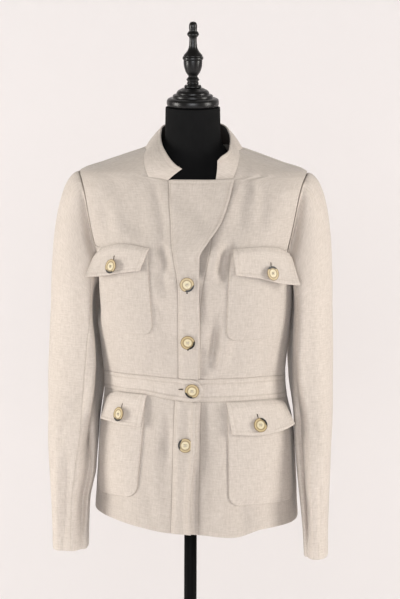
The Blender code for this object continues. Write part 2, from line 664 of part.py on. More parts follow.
def sleeve_grid(side):
    """Closed grid of a sleeve, rows from the armhole to the cuff, columns from the underarm up the front."""
    rings = SLEEVE_LEFT if side > 0 else SLEEVE_RIGHT
    edge, levels = armhole_loop(side)
    count = len(levels) - 1
    tip = count // 2
    front = int(np.argmin(np.abs(levels[:tip] - FRONT_SEAM_LEVEL)))
    back = count - int(np.argmin(np.abs(levels[:tip] - BACK_SEAM_LEVEL)))

    def ring(height):
        knots = [0, column(rings, "front_seam", height), 180, column(rings, "back_seam", height), 360]
        angle = np.radians(np.interp(np.arange(count + 1), [0, front, tip, back, count], knots))
        size = 1 + 0 * angle
        fold = fold_depth(SLEEVE_FOLDS, angle, height * size)
        inward, ahead = np.cos(angle), np.sin(angle)
        turn = 2 / column(rings, "square", height)
        across = (column(rings, "half_width", height) + fold) * signed_power(inward, turn)
        depth = (column(rings, "half_depth", height) + fold) * signed_power(ahead, turn)
        depth = depth * (1 + np.where(ahead > 0, column(rings, "slant", height) * inward, 0.0))
        tuck = column(rings, "tuck", height) * np.clip(-ahead, 0.0, None) ** TUCK_POWER
        lean = column(rings, "lean", height) * np.clip(ahead, 0.0, None) ** TUCK_POWER
        across = across + (tuck - lean) * (1 + inward) / 2
        return np.stack([column(rings, "centre_x", height) - side * across,
                         column(rings, "centre_y", height) - depth, height * size], axis=-1)

    hole = edge[:-1].mean(axis=0)
    rise = ((levels - UNDERARM) / (SHOULDER_TIP - UNDERARM))[:, None]
    outward = ARMHOLE_GAP + UNDERARM_OUT * (1 - rise) ** 4
    edge = edge + unit(hole - edge) * ARMHOLE_GAP * [0, 1, 1] + outward * [side, 0, 0]
    reach = CAP_REACH_UNDER + (CAP_REACH_TOP - CAP_REACH_UNDER) * rise**CAP_REACH_POWER
    drop = CAP_DROP_UNDER + (CAP_DROP_TOP - CAP_DROP_UNDER) * rise
    leave = reach * [side, 0, 0] - drop * [0, 0, 1]
    arrive = (levels[:, None] - BICEPS) * [0, 0, -CAP_FALL]
    target = ring(BICEPS)
    rows = []
    for step in CAP_STEPS:
        rest = 1 - step
        rows.append(edge * (1 + 2 * step) * rest**2 + target * (3 - 2 * step) * step**2
                    + step * rest * (leave * rest - arrive * step))
    for height in np.linspace(BICEPS, rings[0].height, SLEEVE_ROWS + 1)[1:]:
        rows.append(ring(height))
    return np.array(rows), front, back


def make_sleeves():
    for name, side in (("right", -1), ("left", 1)):
        points, front, back = sleeve_grid(side)
        normals = grid_normals(points, wrap=True) * -side
        seams = {"edges": ("first_column", "last_column"), "gap": SLEEVE_SEAM_GAP}
        cloth_piece(f"sleeve_upper_{name}", points[:, front:back + 1], normals[:, front:back + 1], **seams)
        under = np.concatenate([points[:, back:-1], points[:, :front + 1]], axis=1)
        under_normals = np.concatenate([normals[:, back:-1], normals[:, :front + 1]], axis=1)
        cloth_piece(f"sleeve_under_{name}", under, under_normals, **seams)


def make_pockets():
    for pocket in POCKETS:
        straight = np.linspace(pocket.bottom + pocket.corner, pocket.top, 8)
        levels = np.concatenate([pocket.bottom + pocket.corner * np.array([0.0, 0.12, 0.42]), straight])
        share = (levels - pocket.bottom) / (pocket.top - pocket.bottom)
        below = np.clip(1 - (levels - pocket.bottom) / pocket.corner, 0.0, 1.0)
        round_off = pocket.corner * (1 - np.sqrt(1 - below**2))
        inner_line = pocket.inner_bottom + (pocket.inner_top - pocket.inner_bottom) * share
        inner = inner_line + pocket.side * round_off
        outer_side = mirrored(np.radians(-pocket.outer) - round_off / BODY[5].front, pocket.side)
        angle = between(front_angle(inner, levels), outer_side, 8)
        wide = np.linspace(0.0, 1.0, 9)
        pillow = pocket.fullness * np.sqrt(np.sin(math.pi * wide)) * np.sin(math.pi * share**0.7)[:, None]
        points, normals = body(angle, levels[:, None] + 0 * angle, CLOTH + PATCH_GAP + pillow)
        cloth_piece(pocket.node, points, normals, edges=())


def flap_surface(flap, wide, drop):
    """Points of a flap: wide runs from its inner to its outer end, drop from its seam to its free edge."""
    stations = np.linspace(0.0, 1.0, len(flap.tops))
    top = curve(stations, flap.tops, wide)
    bottom = curve(stations, flap.bottoms, wide)
    level = top + (bottom - top) * drop
    inner = front_angle(flap.inner + (flap.inner_low - flap.inner) * drop, level)
    outer = mirrored(np.radians(-flap.outer), flap.side)
    angle = inner + (outer - inner) * wide
    out = CLOTH + PATCH_GAP + FLAP_STEP * ease(drop / FLAP_HINGE) + flap.lift * drop * (0.4 + 0.6 * wide)
    points, normals = body(angle, level, out)
    spread = np.clip(wide, 0.0, None) ** FLAP_SPREAD_POWER * (0.2 + 0.8 * drop)
    return points + spread[..., None] * [flap.side * flap.aside, -flap.spread, 0.0]


def flap_normals(flap, wide, drop):
    step = 0.01
    along = flap_surface(flap, wide + step, drop) - flap_surface(flap, wide - step, drop)
    up = flap_surface(flap, wide, drop - step) - flap_surface(flap, wide, drop + step)
    return unit(np.cross(along, up)) * flap.side


def make_flaps():
    drop_steps = np.array([0.0, 0.10, 0.22, 0.48, 0.74, 1.0])
    wide, drop = np.meshgrid(np.linspace(0.0, 1.0, 9), drop_steps)
    for flap in FLAPS:
        cloth_piece(flap.node, flap_surface(flap, wide, drop), flap_normals(flap, wide, drop), edges=())


def make_button(node, point, normal):
    """Horn disc with a raised rim and a sunken middle, facing along the cloth's normal."""
    rim_inside = BUTTON_RADIUS - BUTTON_RIM
    outline = [Turn(0.0, 0.0), Turn(BUTTON_RADIUS * 0.8, 0.0), Turn(BUTTON_RADIUS, BUTTON_THICK * 0.45),
               Turn(BUTTON_RADIUS - BUTTON_RIM * 0.45, BUTTON_THICK),
               Turn(rim_inside, BUTTON_THICK - BUTTON_SINK), Turn(0.0, BUTTON_THICK - BUTTON_SINK)]
    button = turned_piece(node, outline, "horn", 0.0, BUTTON_SIDES)
    button.location = point
    button.rotation_mode = "QUATERNION"
    button.rotation_quaternion = Vector(normal).to_track_quat("Z", "Y")


def make_buttons():
    for button in FRONT_BUTTONS:
        angle = front_angle(button.across, button.height)
        wall = BAND_CLOTH if button.lap > LAP else CLOTH
        point, normal = body(angle, button.height, button.lap + wall / 2 + BUTTON_CLEAR)
        make_button(button.node, point, normal)
    for flap in FLAPS:
        wide = np.array(flap.button_share)
        steps = np.linspace(0.0, 1.0, 21)
        level_at = [flap_surface(flap, wide, step)[2] for step in steps]
        drop = np.interp(-flap.button_level, -np.array(level_at), steps)
        normal = flap_normals(flap, wide, drop)
        point = flap_surface(flap, wide, drop) + normal * (CLOTH / 2 + BUTTON_CLEAR)
        make_button(flap.node.replace("flap", "button"), point, normal)


def make_torso():
    """Padded torso and neck of the dress form, closed below and above."""
    trunk = np.linspace(FORM_BOTTOM, FORM_SHOULDER, 12)
    levels = np.concatenate([trunk, np.linspace(FORM_SHOULDER, NECK_TOP, 12)[1:]])
    angle, height = np.meshgrid(np.linspace(0.0, math.tau, FORM_SIDES + 1), levels)
    points = skin(FORM, angle, height).reshape(-1, 3)
    shape = bmesh.new()
    grid = bmesh.ops.create_grid(shape, x_segments=FORM_SIDES, y_segments=len(levels) - 1, size=1.0)
    for vertex, point in zip(grid["verts"], points):
        vertex.co = point
    bmesh.ops.remove_doubles(shape, verts=shape.verts, dist=1e-6)
    bmesh.ops.holes_fill(shape, edges=shape.edges, sides=0)
    add_piece("form_torso", shape, "form_cloth")


def make_form():
    make_torso()
    cap_foot = NECK_TOP + PIECE_GAP
    turned_piece("form_cap", CAP, "gloss_black", cap_foot)
    turned_piece("form_finial", FINIAL, "gloss_black", cap_foot + CAP[-1].height + PIECE_GAP, 16)
    pole_length = FORM_BOTTOM - PIECE_GAP - (BASE_HEIGHT + PIECE_GAP)
    pole = [Turn(0.0, 0.0), Turn(POLE_RADIUS, 0.0), Turn(POLE_RADIUS, pole_length), Turn(0.0, pole_length)]
    turned_piece("form_pole", pole, "black_metal", BASE_HEIGHT + PIECE_GAP, 20, 0.0)
    turned_piece("form_base", BASE, "black_metal", 0.0, 40, 0.0)


def build():
    for item in list(bpy.data.objects):
        bpy.data.objects.remove(item, do_unlink=True)
    make_bodice()
    make_bodice_plackets()
    make_waistband()
    make_skirt()
    make_collar()
    make_sleeves()
    make_pockets()
    make_flaps()
    make_buttons()
    make_form()


build()
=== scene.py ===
import json
import math
from collections import namedtuple

import bmesh
import bpy
import numpy as np
from mathutils import Euler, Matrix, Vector, noise
from mathutils.geometry import interpolate_bezier

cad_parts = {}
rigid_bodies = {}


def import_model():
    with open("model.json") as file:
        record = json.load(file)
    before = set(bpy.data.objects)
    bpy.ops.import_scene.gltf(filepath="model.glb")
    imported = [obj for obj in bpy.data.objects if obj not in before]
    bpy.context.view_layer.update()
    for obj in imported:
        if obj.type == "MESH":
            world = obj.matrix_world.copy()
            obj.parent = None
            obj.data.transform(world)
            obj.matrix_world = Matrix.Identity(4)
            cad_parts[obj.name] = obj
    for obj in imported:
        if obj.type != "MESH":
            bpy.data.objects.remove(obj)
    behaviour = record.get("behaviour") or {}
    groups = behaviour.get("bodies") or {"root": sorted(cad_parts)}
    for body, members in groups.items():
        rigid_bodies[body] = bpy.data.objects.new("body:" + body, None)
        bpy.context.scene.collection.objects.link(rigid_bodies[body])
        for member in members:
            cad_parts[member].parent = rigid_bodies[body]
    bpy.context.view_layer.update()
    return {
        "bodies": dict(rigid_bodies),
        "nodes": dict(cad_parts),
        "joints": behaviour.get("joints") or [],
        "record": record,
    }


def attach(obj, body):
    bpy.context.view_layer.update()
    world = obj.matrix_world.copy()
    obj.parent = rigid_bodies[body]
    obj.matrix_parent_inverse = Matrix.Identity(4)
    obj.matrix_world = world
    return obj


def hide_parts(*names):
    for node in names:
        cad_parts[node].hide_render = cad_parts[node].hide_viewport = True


# A linen jacket on a limbless dress form. Metres, +Z up; the front faces -Y and +X is the wearer's left.
# Angles run round the body: 0 at the wearer's left, -90 degrees at the centre front, 90 at the centre back.
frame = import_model()


# Torso of the dress form: a padded, limbless body with its neck, closed below by a recessed board.
# It is covered in black jersey, stretched tight over the padding and drawn in under the neck cap.
Section = namedtuple("Section", "height half_width front back square shift")
FORM = [
    Section(0.846, 0.1500, 0.109, 0.110, 2.20, 0.006),
    Section(0.880, 0.1480, 0.108, 0.110, 2.20, 0.006),
    Section(0.960, 0.1395, 0.100, 0.099, 2.25, 0.006),
    Section(1.035, 0.1325, 0.095, 0.083, 2.25, 0.006),
    Section(1.090, 0.1370, 0.101, 0.083, 2.25, 0.005),
    Section(1.150, 0.1415, 0.110, 0.089, 2.25, 0.004),
    Section(1.200, 0.1405, 0.111, 0.095, 2.25, 0.003),
    Section(1.250, 0.1430, 0.103, 0.099, 2.25, 0.003),
    Section(1.300, 0.1540, 0.088, 0.097, 2.25, 0.003),
    Section(1.335, 0.1600, 0.076, 0.091, 2.25, 0.003),
    Section(1.362, 0.1600, 0.0665, 0.082, 2.25, 0.003),
    Section(1.378, 0.1180, 0.060, 0.072, 2.20, 0.003),
    Section(1.394, 0.0740, 0.053, 0.060, 2.10, 0.003),
    Section(1.408, 0.0540, 0.0480, 0.050, 2.00, 0.002),
    Section(1.430, 0.0445, 0.0445, 0.0445, 2.00, 0.0015),
    Section(1.477, 0.0436, 0.0436, 0.0436, 2.00, 0.0015),
]
BOARD_INSET = 0.006
BOARD_DEPTH = 0.004
JERSEY_BLACK = (0.011, 0.011, 0.0115)


def curve(places, values, at):
    """Smooth curve through the values, without overshoot, read at any places."""
    places = np.asarray(places, float)
    values = np.asarray(values, float)
    steps = np.diff(places)
    slopes = np.diff(values) / steps
    tangents = np.concatenate([slopes[:1], np.zeros(len(slopes) - 1), slopes[-1:]])
    rising = slopes[:-1] * slopes[1:] > 0
    total = np.where(rising, slopes[:-1] + slopes[1:], 1.0)
    tangents[1:-1] = np.where(rising, 2 * slopes[:-1] * slopes[1:] / total, 0.0)
    spot = np.clip(np.searchsorted(places, at, side="right") - 1, 0, len(steps) - 1)
    part = np.clip((at - places[spot]) / steps[spot], 0.0, 1.0)
    rest = 1 - part
    return (values[spot] * (1 + 2 * part) * rest**2 + values[spot + 1] * (3 - 2 * part) * part**2
            + steps[spot] * part * rest * (tangents[spot] * rest - tangents[spot + 1] * part))


def column(table, name, at):
    """One column of a table, read smoothly by the table's first column."""
    first = table[0]._fields[0]
    places = [getattr(row, first) for row in table]
    values = [getattr(row, name) for row in table]
    return curve(places, values, np.asarray(at, float))


def signed_power(value, power):
    return np.sign(value) * np.abs(value) ** power


def skin(table, angle, height):
    """Plain surface of a table of sections."""
    turn = 2 / column(table, "square", height)
    across = column(table, "half_width", height) * signed_power(np.cos(angle), turn)
    sine = np.sin(angle)
    reach = np.where(sine < 0, column(table, "front", height), column(table, "back", height))
    depth = reach * signed_power(sine, turn)
    return np.stack([across + column(table, "shift", height), depth, height], axis=-1)


def wire(tree, kind, inputs=(), **settings):
    """Add a shader node, set its options, and fill its inputs with values or with other nodes' outputs."""
    made = tree.nodes.new(kind)
    for name, value in settings.items():
        setattr(made, name, value)
    for socket, value in dict(inputs).items():
        if isinstance(value, bpy.types.NodeSocket):
            tree.links.new(value, made.inputs[socket])
        else:
            made.inputs[socket].default_value = value
    return made


def object_place(tree):
    return wire(tree, "ShaderNodeTexCoord").outputs["Object"]


def speckle(tree, place, scale, detail=2.0, **more):
    """Strength of a soft noise at each place."""
    inputs = {"Vector": place, "Scale": scale, "Detail": detail, **more}
    return wire(tree, "ShaderNodeTexNoise", inputs).outputs["Fac"]


def raise_surface(tree, shader, height, distance, strength):
    """Let a height show as relief on a finish."""
    bump = wire(tree, "ShaderNodeBump", {"Height": height, "Distance": distance, "Strength": strength})
    tree.links.new(bump.outputs["Normal"], shader.inputs["Normal"])


def new_finish(name, colour, roughness, **constants):
    """Material with one Principled shader, whose even values are set on its own sockets."""
    material = bpy.data.materials.new(name)
    material.use_nodes = True
    shader = material.node_tree.nodes["Principled BSDF"]
    shader.inputs["Base Color"].default_value = (*colour, 1.0)
    shader.inputs["Roughness"].default_value = roughness
    for socket, value in constants.items():
        shader.inputs[socket.replace("_", " ")].default_value = value
    return material, material.node_tree, shader


def set_piece(name, mesh, finish):
    """Set a smooth-shaded piece into the scene, riding with the part."""
    mesh.shade_smooth()
    mesh.materials.append(finish)
    piece = bpy.data.objects.new(name, mesh)
    bpy.context.scene.collection.objects.link(piece)
    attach(piece, "root")
    return piece


def place_piece(name, shape, finish, slot, *nodes):
    """Turn a finished shape into a piece that stands for the named solids."""
    mesh = bpy.data.meshes.new(name)
    shape.to_mesh(mesh)
    shape.free()
    piece = set_piece(name, mesh, finish)
    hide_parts(*nodes)
    return piece


def soften(piece, name, width, steps, degrees):
    """Round each edge that turns more sharply than the given angle."""
    rounding = piece.modifiers.new(name, "BEVEL")
    rounding.width = width
    rounding.segments = steps
    rounding.limit_method = "ANGLE"
    rounding.angle_limit = math.radians(degrees)


jersey, tree, shader = new_finish("black_jersey", JERSEY_BLACK, 0.9, Specular_IOR_Level=0.12)
place = object_place(tree)
rib = wire(tree, "ShaderNodeMapping", {"Vector": place, "Scale": (900.0, 900.0, 420.0)}).outputs[0]
knit = speckle(tree, rib, 1.0)
lint = speckle(tree, place, 60.0, 4.0)
tint = wire(tree, "ShaderNodeValToRGB", {"Fac": lint})
tint.color_ramp.elements[0].color = (0.0036, 0.0036, 0.0038, 1.0)
tint.color_ramp.elements[1].color = (0.0078, 0.0078, 0.0082, 1.0)
tree.links.new(tint.outputs["Color"], shader.inputs["Base Color"])
raise_surface(tree, shader, knit, 0.0002, 0.5)

shape = bmesh.new()
form_sides, form_rows = 96, 110
angle, height = np.meshgrid(np.linspace(0.0, math.tau, form_sides + 1),
                            np.linspace(FORM[0].height, FORM[-1].height, form_rows + 1))
grid = bmesh.ops.create_grid(shape, x_segments=form_sides, y_segments=form_rows, size=1.0)
for vertex, point in zip(grid["verts"], skin(FORM, angle, height).reshape(-1, 3)):
    vertex.co = point
bmesh.ops.remove_doubles(shape, verts=shape.verts, dist=1e-6)
lids = bmesh.ops.holes_fill(shape, edges=shape.edges, sides=0)["faces"]
bmesh.ops.recalc_face_normals(shape, faces=shape.faces)
board = [lid for lid in lids if lid.normal.z < 0]
bmesh.ops.inset_region(shape, faces=board, thickness=BOARD_INSET, depth=-BOARD_DEPTH)
torso = place_piece("form_torso_cover", shape, jersey, "form_cloth", "form_torso")
soften(torso, "rounded_rim", 0.0012, 3, 50)


# Neck cap and finial: both are turned from wood on a lathe and lacquered gloss black.
# The cap is a fat ring with a stepped dome that closes the neck, and the finial is doweled into it.
Turn = namedtuple("Turn", "radius height")
CAP = [Turn(0.0, 0.0), Turn(0.0385, 0.0), Turn(0.0409, 0.0022), Turn(0.0417, 0.0068), Turn(0.0409, 0.0115),
       Turn(0.0378, 0.0140), Turn(0.0332, 0.0145), Turn(0.0322, 0.0152), Turn(0.0320, 0.0182),
       Turn(0.0302, 0.0197), Turn(0.0272, 0.0199), Turn(0.0265, 0.0206), Turn(0.0258, 0.0236),
       Turn(0.0232, 0.0266), Turn(0.0188, 0.0288), Turn(0.0165, 0.0300), Turn(0.0, 0.0300)]
FINIAL = [Turn(0.0, 0.0), Turn(0.0122, 0.0), Turn(0.0138, 0.0022), Turn(0.0124, 0.0046), Turn(0.0086, 0.0050),
          Turn(0.0097, 0.0076), Turn(0.0085, 0.0103), Turn(0.0103, 0.0132), Turn(0.0088, 0.0160),
          Turn(0.0073, 0.0186), Turn(0.0116, 0.0255), Turn(0.0144, 0.0345), Turn(0.0151, 0.0440),
          Turn(0.0149, 0.0449), Turn(0.0161, 0.0455), Turn(0.0166, 0.0478), Turn(0.0160, 0.0502),
          Turn(0.0149, 0.0508), Turn(0.0150, 0.0522), Turn(0.0118, 0.0560), Turn(0.0085, 0.0606),
          Turn(0.0066, 0.0664), Turn(0.0061, 0.0740), Turn(0.0062, 0.0806), Turn(0.0078, 0.0824),
          Turn(0.0095, 0.0856), Turn(0.0078, 0.0896), Turn(0.0063, 0.0910), Turn(0.0065, 0.0995),
          Turn(0.0046, 0.1046), Turn(0.0, 0.1062)]
NECK_AXIS = 0.0015
CAP_FOOT = 1.4773
FINIAL_FOOT = 1.5076


def spun_shape(outline, sides):
    """Shape spun round a vertical axis from pairs of radius and height."""
    shape = bmesh.new()
    points = [shape.verts.new((radius, 0.0, height)) for radius, height in outline]
    lines = [shape.edges.new(pair) for pair in zip(points[:-1], points[1:])]
    bmesh.ops.spin(shape, geom=points + lines, cent=(0, 0, 0), axis=(0, 0, 1), angle=math.tau, steps=sides,
                   use_merge=True)
    bmesh.ops.remove_doubles(shape, verts=shape.verts, dist=1e-6)
    bmesh.ops.recalc_face_normals(shape, faces=shape.faces)
    return shape


def turned_shape(outline, foot, middle, sides):
    """Shape turned on a vertical axis: a smooth outline through the named radii, spun round."""
    path = [Vector((turn.radius, 0.0, turn.height)) for turn in outline]
    ends = [path[0]] + path + [path[-1]]
    ways = [(after - before).normalized() for before, after in zip(ends[:-2], ends[2:])]
    dense = []
    for start, end, leave, arrive in zip(path[:-1], path[1:], ways[:-1], ways[1:]):
        reach = (end - start).length / 3
        dense += interpolate_bezier(start, start + leave * reach, end - arrive * reach, end, 6)[:-1]
    dense.append(path[-1])
    top = outline[-1].height
    shape = spun_shape([(max(spot.x, 0.0), min(max(spot.z, 0.0), top)) for spot in dense], sides)
    bmesh.ops.translate(shape, verts=shape.verts, vec=(middle, 0.0, foot))
    return shape


def ranged(tree, value, low, high, start=0.0, end=1.0):
    """Value moved from one range to another, and held at its ends."""
    inputs = {"Value": value, "From Min": low, "From Max": high, "To Min": start, "To Max": end}
    return wire(tree, "ShaderNodeMapRange", inputs).outputs["Result"]


lacquer, tree, shader = new_finish("gloss_black_lacquer", (0.0040, 0.0038, 0.0040), 0.36,
                                   Specular_IOR_Level=0.30, Coat_Weight=0.10, Coat_Roughness=0.22)
place = object_place(tree)
rings = wire(tree, "ShaderNodeMapping", {"Vector": place, "Scale": (30.0, 30.0, 700.0)}).outputs[0]
tool_marks = speckle(tree, rings, 1.0)
smears = speckle(tree, place, 45.0, 3.0)
tree.links.new(ranged(tree, smears, 0.0, 1.0, 0.28, 0.42), shader.inputs["Roughness"])
raise_surface(tree, shader, tool_marks, 0.00005, 0.25)
cap = turned_shape(CAP, CAP_FOOT, NECK_AXIS, 80)
place_piece("neck_cap", cap, lacquer, "gloss_black", "form_cap")
finial = turned_shape(FINIAL, FINIAL_FOOT, NECK_AXIS, 56)
place_piece("neck_finial", finial, lacquer, "gloss_black", "form_finial")


# Pole and base: a steel tube that carries the torso, set into a round cast base that stands on the floor.
# Both are painted satin black; the base has a low dome and a short socket for the pole.
POLE_RADIUS = 0.0102
POLE_FOOT = 0.0403
POLE_TOP = 0.8457
POLE = [Turn(0.0, POLE_FOOT), Turn(POLE_RADIUS, POLE_FOOT), Turn(POLE_RADIUS, POLE_TOP), Turn(0.0, POLE_TOP)]
BASE = [Turn(0.0, 0.0), Turn(0.180, 0.0), Turn(0.180, 0.010), Turn(0.174, 0.016), Turn(0.100, 0.021),
        Turn(0.034, 0.026), Turn(0.022, 0.032), Turn(0.020, 0.040), Turn(0.0, 0.040)]

paint, tree, shader = new_finish("satin_black_paint", (0.0030, 0.0030, 0.0030), 0.5, Specular_IOR_Level=0.05)
place = object_place(tree)
orange_peel = speckle(tree, place, 900.0)
rubbed = speckle(tree, place, 25.0, 5.0)
tree.links.new(ranged(tree, rubbed, 0.0, 1.0, 0.42, 0.58), shader.inputs["Roughness"])
raise_surface(tree, shader, orange_peel, 0.0001, 0.15)
pole = place_piece("stand_pole", spun_shape(POLE, 64), paint, "black_metal", "form_pole")
base = place_piece("stand_base", spun_shape(BASE, 128), paint, "black_metal", "form_base")
for piece in (pole, base):
    soften(piece, "rounded_edges", 0.0018, 3, 12)


# Bodice: one back and two fronts of plain-woven natural linen, joined by side, shoulder and armhole seams.
# The cloth is limp and a little rumpled; soft drag lines run from the bust, the flaps and the collar.
BODY = [
    Section(0.780, 0.1650, 0.128, 0.123, 2.20, 0.0095),
    Section(0.880, 0.1600, 0.121, 0.123, 2.25, 0.010),
    Section(0.960, 0.1555, 0.114, 0.112, 2.30, 0.0095),
    Section(1.035, 0.1445, 0.108, 0.096, 2.30, 0.006),
    Section(1.090, 0.1490, 0.114, 0.096, 2.30, 0.005),
    Section(1.150, 0.1560, 0.123, 0.102, 2.30, 0.004),
    Section(1.200, 0.1590, 0.125, 0.108, 2.30, 0.003),
    Section(1.250, 0.1620, 0.117, 0.112, 2.30, 0.003),
    Section(1.300, 0.1760, 0.102, 0.110, 2.30, 0.003),
    Section(1.338, 0.1870, 0.089, 0.104, 2.30, 0.003),
    Section(1.352, 0.1890, 0.084, 0.101, 2.30, 0.003),
    Section(1.374, 0.1810, 0.0755, 0.095, 2.30, 0.003),
    Section(1.386, 0.1480, 0.071, 0.089, 2.30, 0.003),
    Section(1.411, 0.0765, 0.062, 0.070, 2.30, 0.003),
]
CLOTH = 0.0015
UNDERARM = 1.200
NECK_EDGE = 1.3695
SHOULDER_TIP = 1.374
NECK_POINT = 1.411
WAIST_LEVEL = 1.0555
HEM_LEVEL = 0.812
ROW_STEP = 0.0046

# how far the armhole reaches to the front and to the back of the side line, level by level
Armhole = namedtuple("Armhole", "height front back")
ARMHOLE = [
    Armhole(1.2000, 0.000, 0.000),
    Armhole(1.2045, 0.022, 0.022),
    Armhole(1.2130, 0.036, 0.038),
    Armhole(1.2280, 0.045, 0.050),
    Armhole(1.2500, 0.048, 0.058),
    Armhole(1.2750, 0.0465, 0.061),
    Armhole(1.3000, 0.0465, 0.061),
    Armhole(1.3250, 0.0455, 0.058),
    Armhole(1.3450, 0.0425, 0.053),
    Armhole(1.3580, 0.0365, 0.046),
    Armhole(NECK_EDGE, 0.0210, 0.027),
    Armhole(SHOULDER_TIP, 0.000, 0.000),
]

# front edges, measured across from the centre front, and the neckline from the middle of the neck
Front = namedtuple("Front", "height seam_right free_edge seam_left")
BODICE_FRONT = [
    Front(1.050, -0.0135, 0.0175, 0.0215),
    Front(1.150, -0.0135, 0.0207, 0.0215),
    Front(1.200, -0.0140, 0.0200, 0.0250),
    Front(1.250, -0.0215, 0.0202, 0.0345),
    Front(1.275, -0.0255, 0.0345, 0.0378),
    Front(1.302, -0.0270, 0.0521, 0.0390),
    Front(1.333, -0.0300, 0.0632, 0.0400),
    Front(1.370, -0.0325, 0.0720, 0.0425),
]
Neck = namedtuple("Neck", "height half_width")
NECKLINE = [Neck(1.374, 0.0667), Neck(1.385, 0.0710), Neck(1.395, 0.0740), Neck(1.404, 0.0750),
            Neck(1.411, 0.0725)]

# waist seams and hem round the body, by angle in degrees
Waist = namedtuple("Waist", "angle bottom top hem")
WAIST = [
    Waist(-180, 1.0230, 1.0490, 0.830),
    Waist(-150, 1.0290, 1.0575, 0.826),
    Waist(-120, 1.0290, 1.0590, 0.816),
    Waist(-100, 1.0215, 1.0570, 0.808),
    Waist(-88, 1.0185, 1.0555, 0.807),
    Waist(-68, 1.0190, 1.0560, 0.802),
    Waist(-50, 1.0190, 1.0560, 0.812),
    Waist(-30, 1.0170, 1.0540, 0.814),
    Waist(0, 1.0130, 1.0480, 0.815),
    Waist(45, 1.0180, 1.0520, 0.808),
    Waist(90, 1.0220, 1.0560, 0.812),
    Waist(140, 1.0220, 1.0540, 0.819),
    Waist(180, 1.0230, 1.0490, 0.830),
]

# large folds by level and angle in degrees, then creases between two places on the front (-1) or back (1)
Fold = namedtuple("Fold", "bottom bottom_angle top top_angle width depth")
BODY_FOLDS = [
    Fold(1.060, -82, 1.185, -78, 5, -0.0055),
    Fold(1.070, -100, 1.200, -104, 6, -0.0028),
    Fold(1.275, -117, 1.385, -128, 8, -0.0035),
    Fold(1.270, -46, 1.370, -40, 9, 0.0030),
    Fold(0.790, -101, 1.000, -105, 8, -0.0040),
    Fold(0.790, -75, 0.990, -78, 6, 0.0035),
    Fold(0.790, -4, 0.960, -4, 9, -0.0010),
    Fold(0.790, 62, 1.000, 66, 12, 0.0050),
    Fold(0.790, 112, 1.000, 108, 12, 0.0050),
    Fold(0.790, 88, 0.980, 89, 10, -0.0045),
    Fold(1.080, 60, 1.330, 42, 9, -0.0040),
    Fold(1.080, 122, 1.330, 138, 9, -0.0040),
    Fold(1.130, -172, 1.270, -172, 15, -0.0120),
    Fold(1.130, 188, 1.270, 188, 15, -0.0120),
]
Crease = namedtuple("Crease", "face low_x low_z high_x high_z bow width depth")
CREASES = [
    Crease(-1, -0.036, 1.325, -0.052, 1.388, 0.002, 0.0060, 0.0020),
    Crease(-1, -0.036, 1.250, -0.060, 1.376, 0.004, 0.0085, -0.0034),
    Crease(-1, -0.030, 1.218, -0.047, 1.280, 0.002, 0.0075, -0.0064),
    Crease(-1, -0.033, 1.180, -0.050, 1.245, 0.004, 0.0085, -0.0040),
    Crease(-1, -0.080, 1.262, -0.076, 1.362, 0.003, 0.0120, -0.0022),
    Crease(-1, -0.104, 1.268, -0.112, 1.356, -0.003, 0.0090, 0.0018),
    Crease(-1, -0.128, 1.262, -0.139, 1.345, 0.002, 0.0085, -0.0022),
    Crease(-1, -0.017, 1.363, 0.038, 1.286, 0.000, 0.0130, -0.0030),
    Crease(-1, 0.056, 1.205, 0.069, 1.280, -0.003, 0.0078, -0.0105),
    Crease(-1, 0.083, 1.275, 0.088, 1.372, -0.002, 0.0085, -0.0019),
    Crease(-1, 0.108, 1.330, 0.099, 1.394, 0.000, 0.0065, 0.0022),
    Crease(-1, 0.117, 1.290, 0.120, 1.356, -0.001, 0.0065, -0.0015),
    Crease(-1, 0.0345, 1.058, 0.0490, 1.158, 0.002, 0.0060, -0.0074),
    Crease(-1, 0.053, 1.055, 0.069, 1.140, -0.002, 0.0080, 0.0030),
    Crease(-1, -0.062, 1.058, -0.048, 1.122, 0.003, 0.0070, -0.0016),
    Crease(-1, -0.1010, 1.066, -0.0990, 1.130, 0.000, 0.0035, -0.0010),
    Crease(-1, 0.1170, 1.062, 0.1190, 1.122, 0.000, 0.0035, -0.0012),
    Crease(-1, -0.122, 1.070, -0.070, 1.066, 0.003, 0.0035, -0.0010),
    Crease(-1, 0.074, 1.068, 0.128, 1.074, -0.003, 0.0035, -0.0010),
    Crease(-1, 0.0225, 0.885, 0.0235, 1.040, 0.000, 0.0058, -0.0052),
    Crease(-1, -0.034, 0.905, -0.033, 1.020, 0.002, 0.0070, -0.0030),
    Crease(-1, -0.048, 0.815, -0.047, 1.000, -0.002, 0.0080, 0.0018),
    Crease(-1, 0.034, 0.815, 0.031, 0.990, 0.002, 0.0070, -0.0018),
    Crease(-1, 0.048, 0.810, 0.046, 0.985, 0.003, 0.0090, 0.0020),
    Crease(-1, -0.060, 0.806, -0.056, 0.880, 0.002, 0.0090, -0.0022),
    Crease(-1, 0.094, 0.798, 0.086, 0.870, 0.002, 0.0100, -0.0026),
    Crease(1, -0.062, 1.072, 0.048, 1.068, 0.004, 0.0045, -0.0018),
    Crease(1, -0.034, 1.090, 0.078, 1.096, -0.005, 0.0055, -0.0016),
    Crease(1, -0.135, 1.208, -0.088, 1.300, 0.006, 0.0080, -0.0034),
    Crease(1, 0.084, 1.290, 0.138, 1.204, 0.006, 0.0080, -0.0036),
    Crease(1, -0.048, 1.330, -0.084, 1.400, 0.002, 0.0080, -0.0022),
    Crease(1, 0.042, 1.325, 0.080, 1.398, -0.003, 0.0075, -0.0020),
    Crease(1, -0.006, 1.120, 0.004, 1.330, 0.003, 0.0110, -0.0018),
    Crease(1, -0.100, 0.815, -0.092, 1.005, 0.003, 0.0080, -0.0028),
    Crease(1, 0.088, 0.812, 0.082, 0.990, -0.004, 0.0070, -0.0026),
]
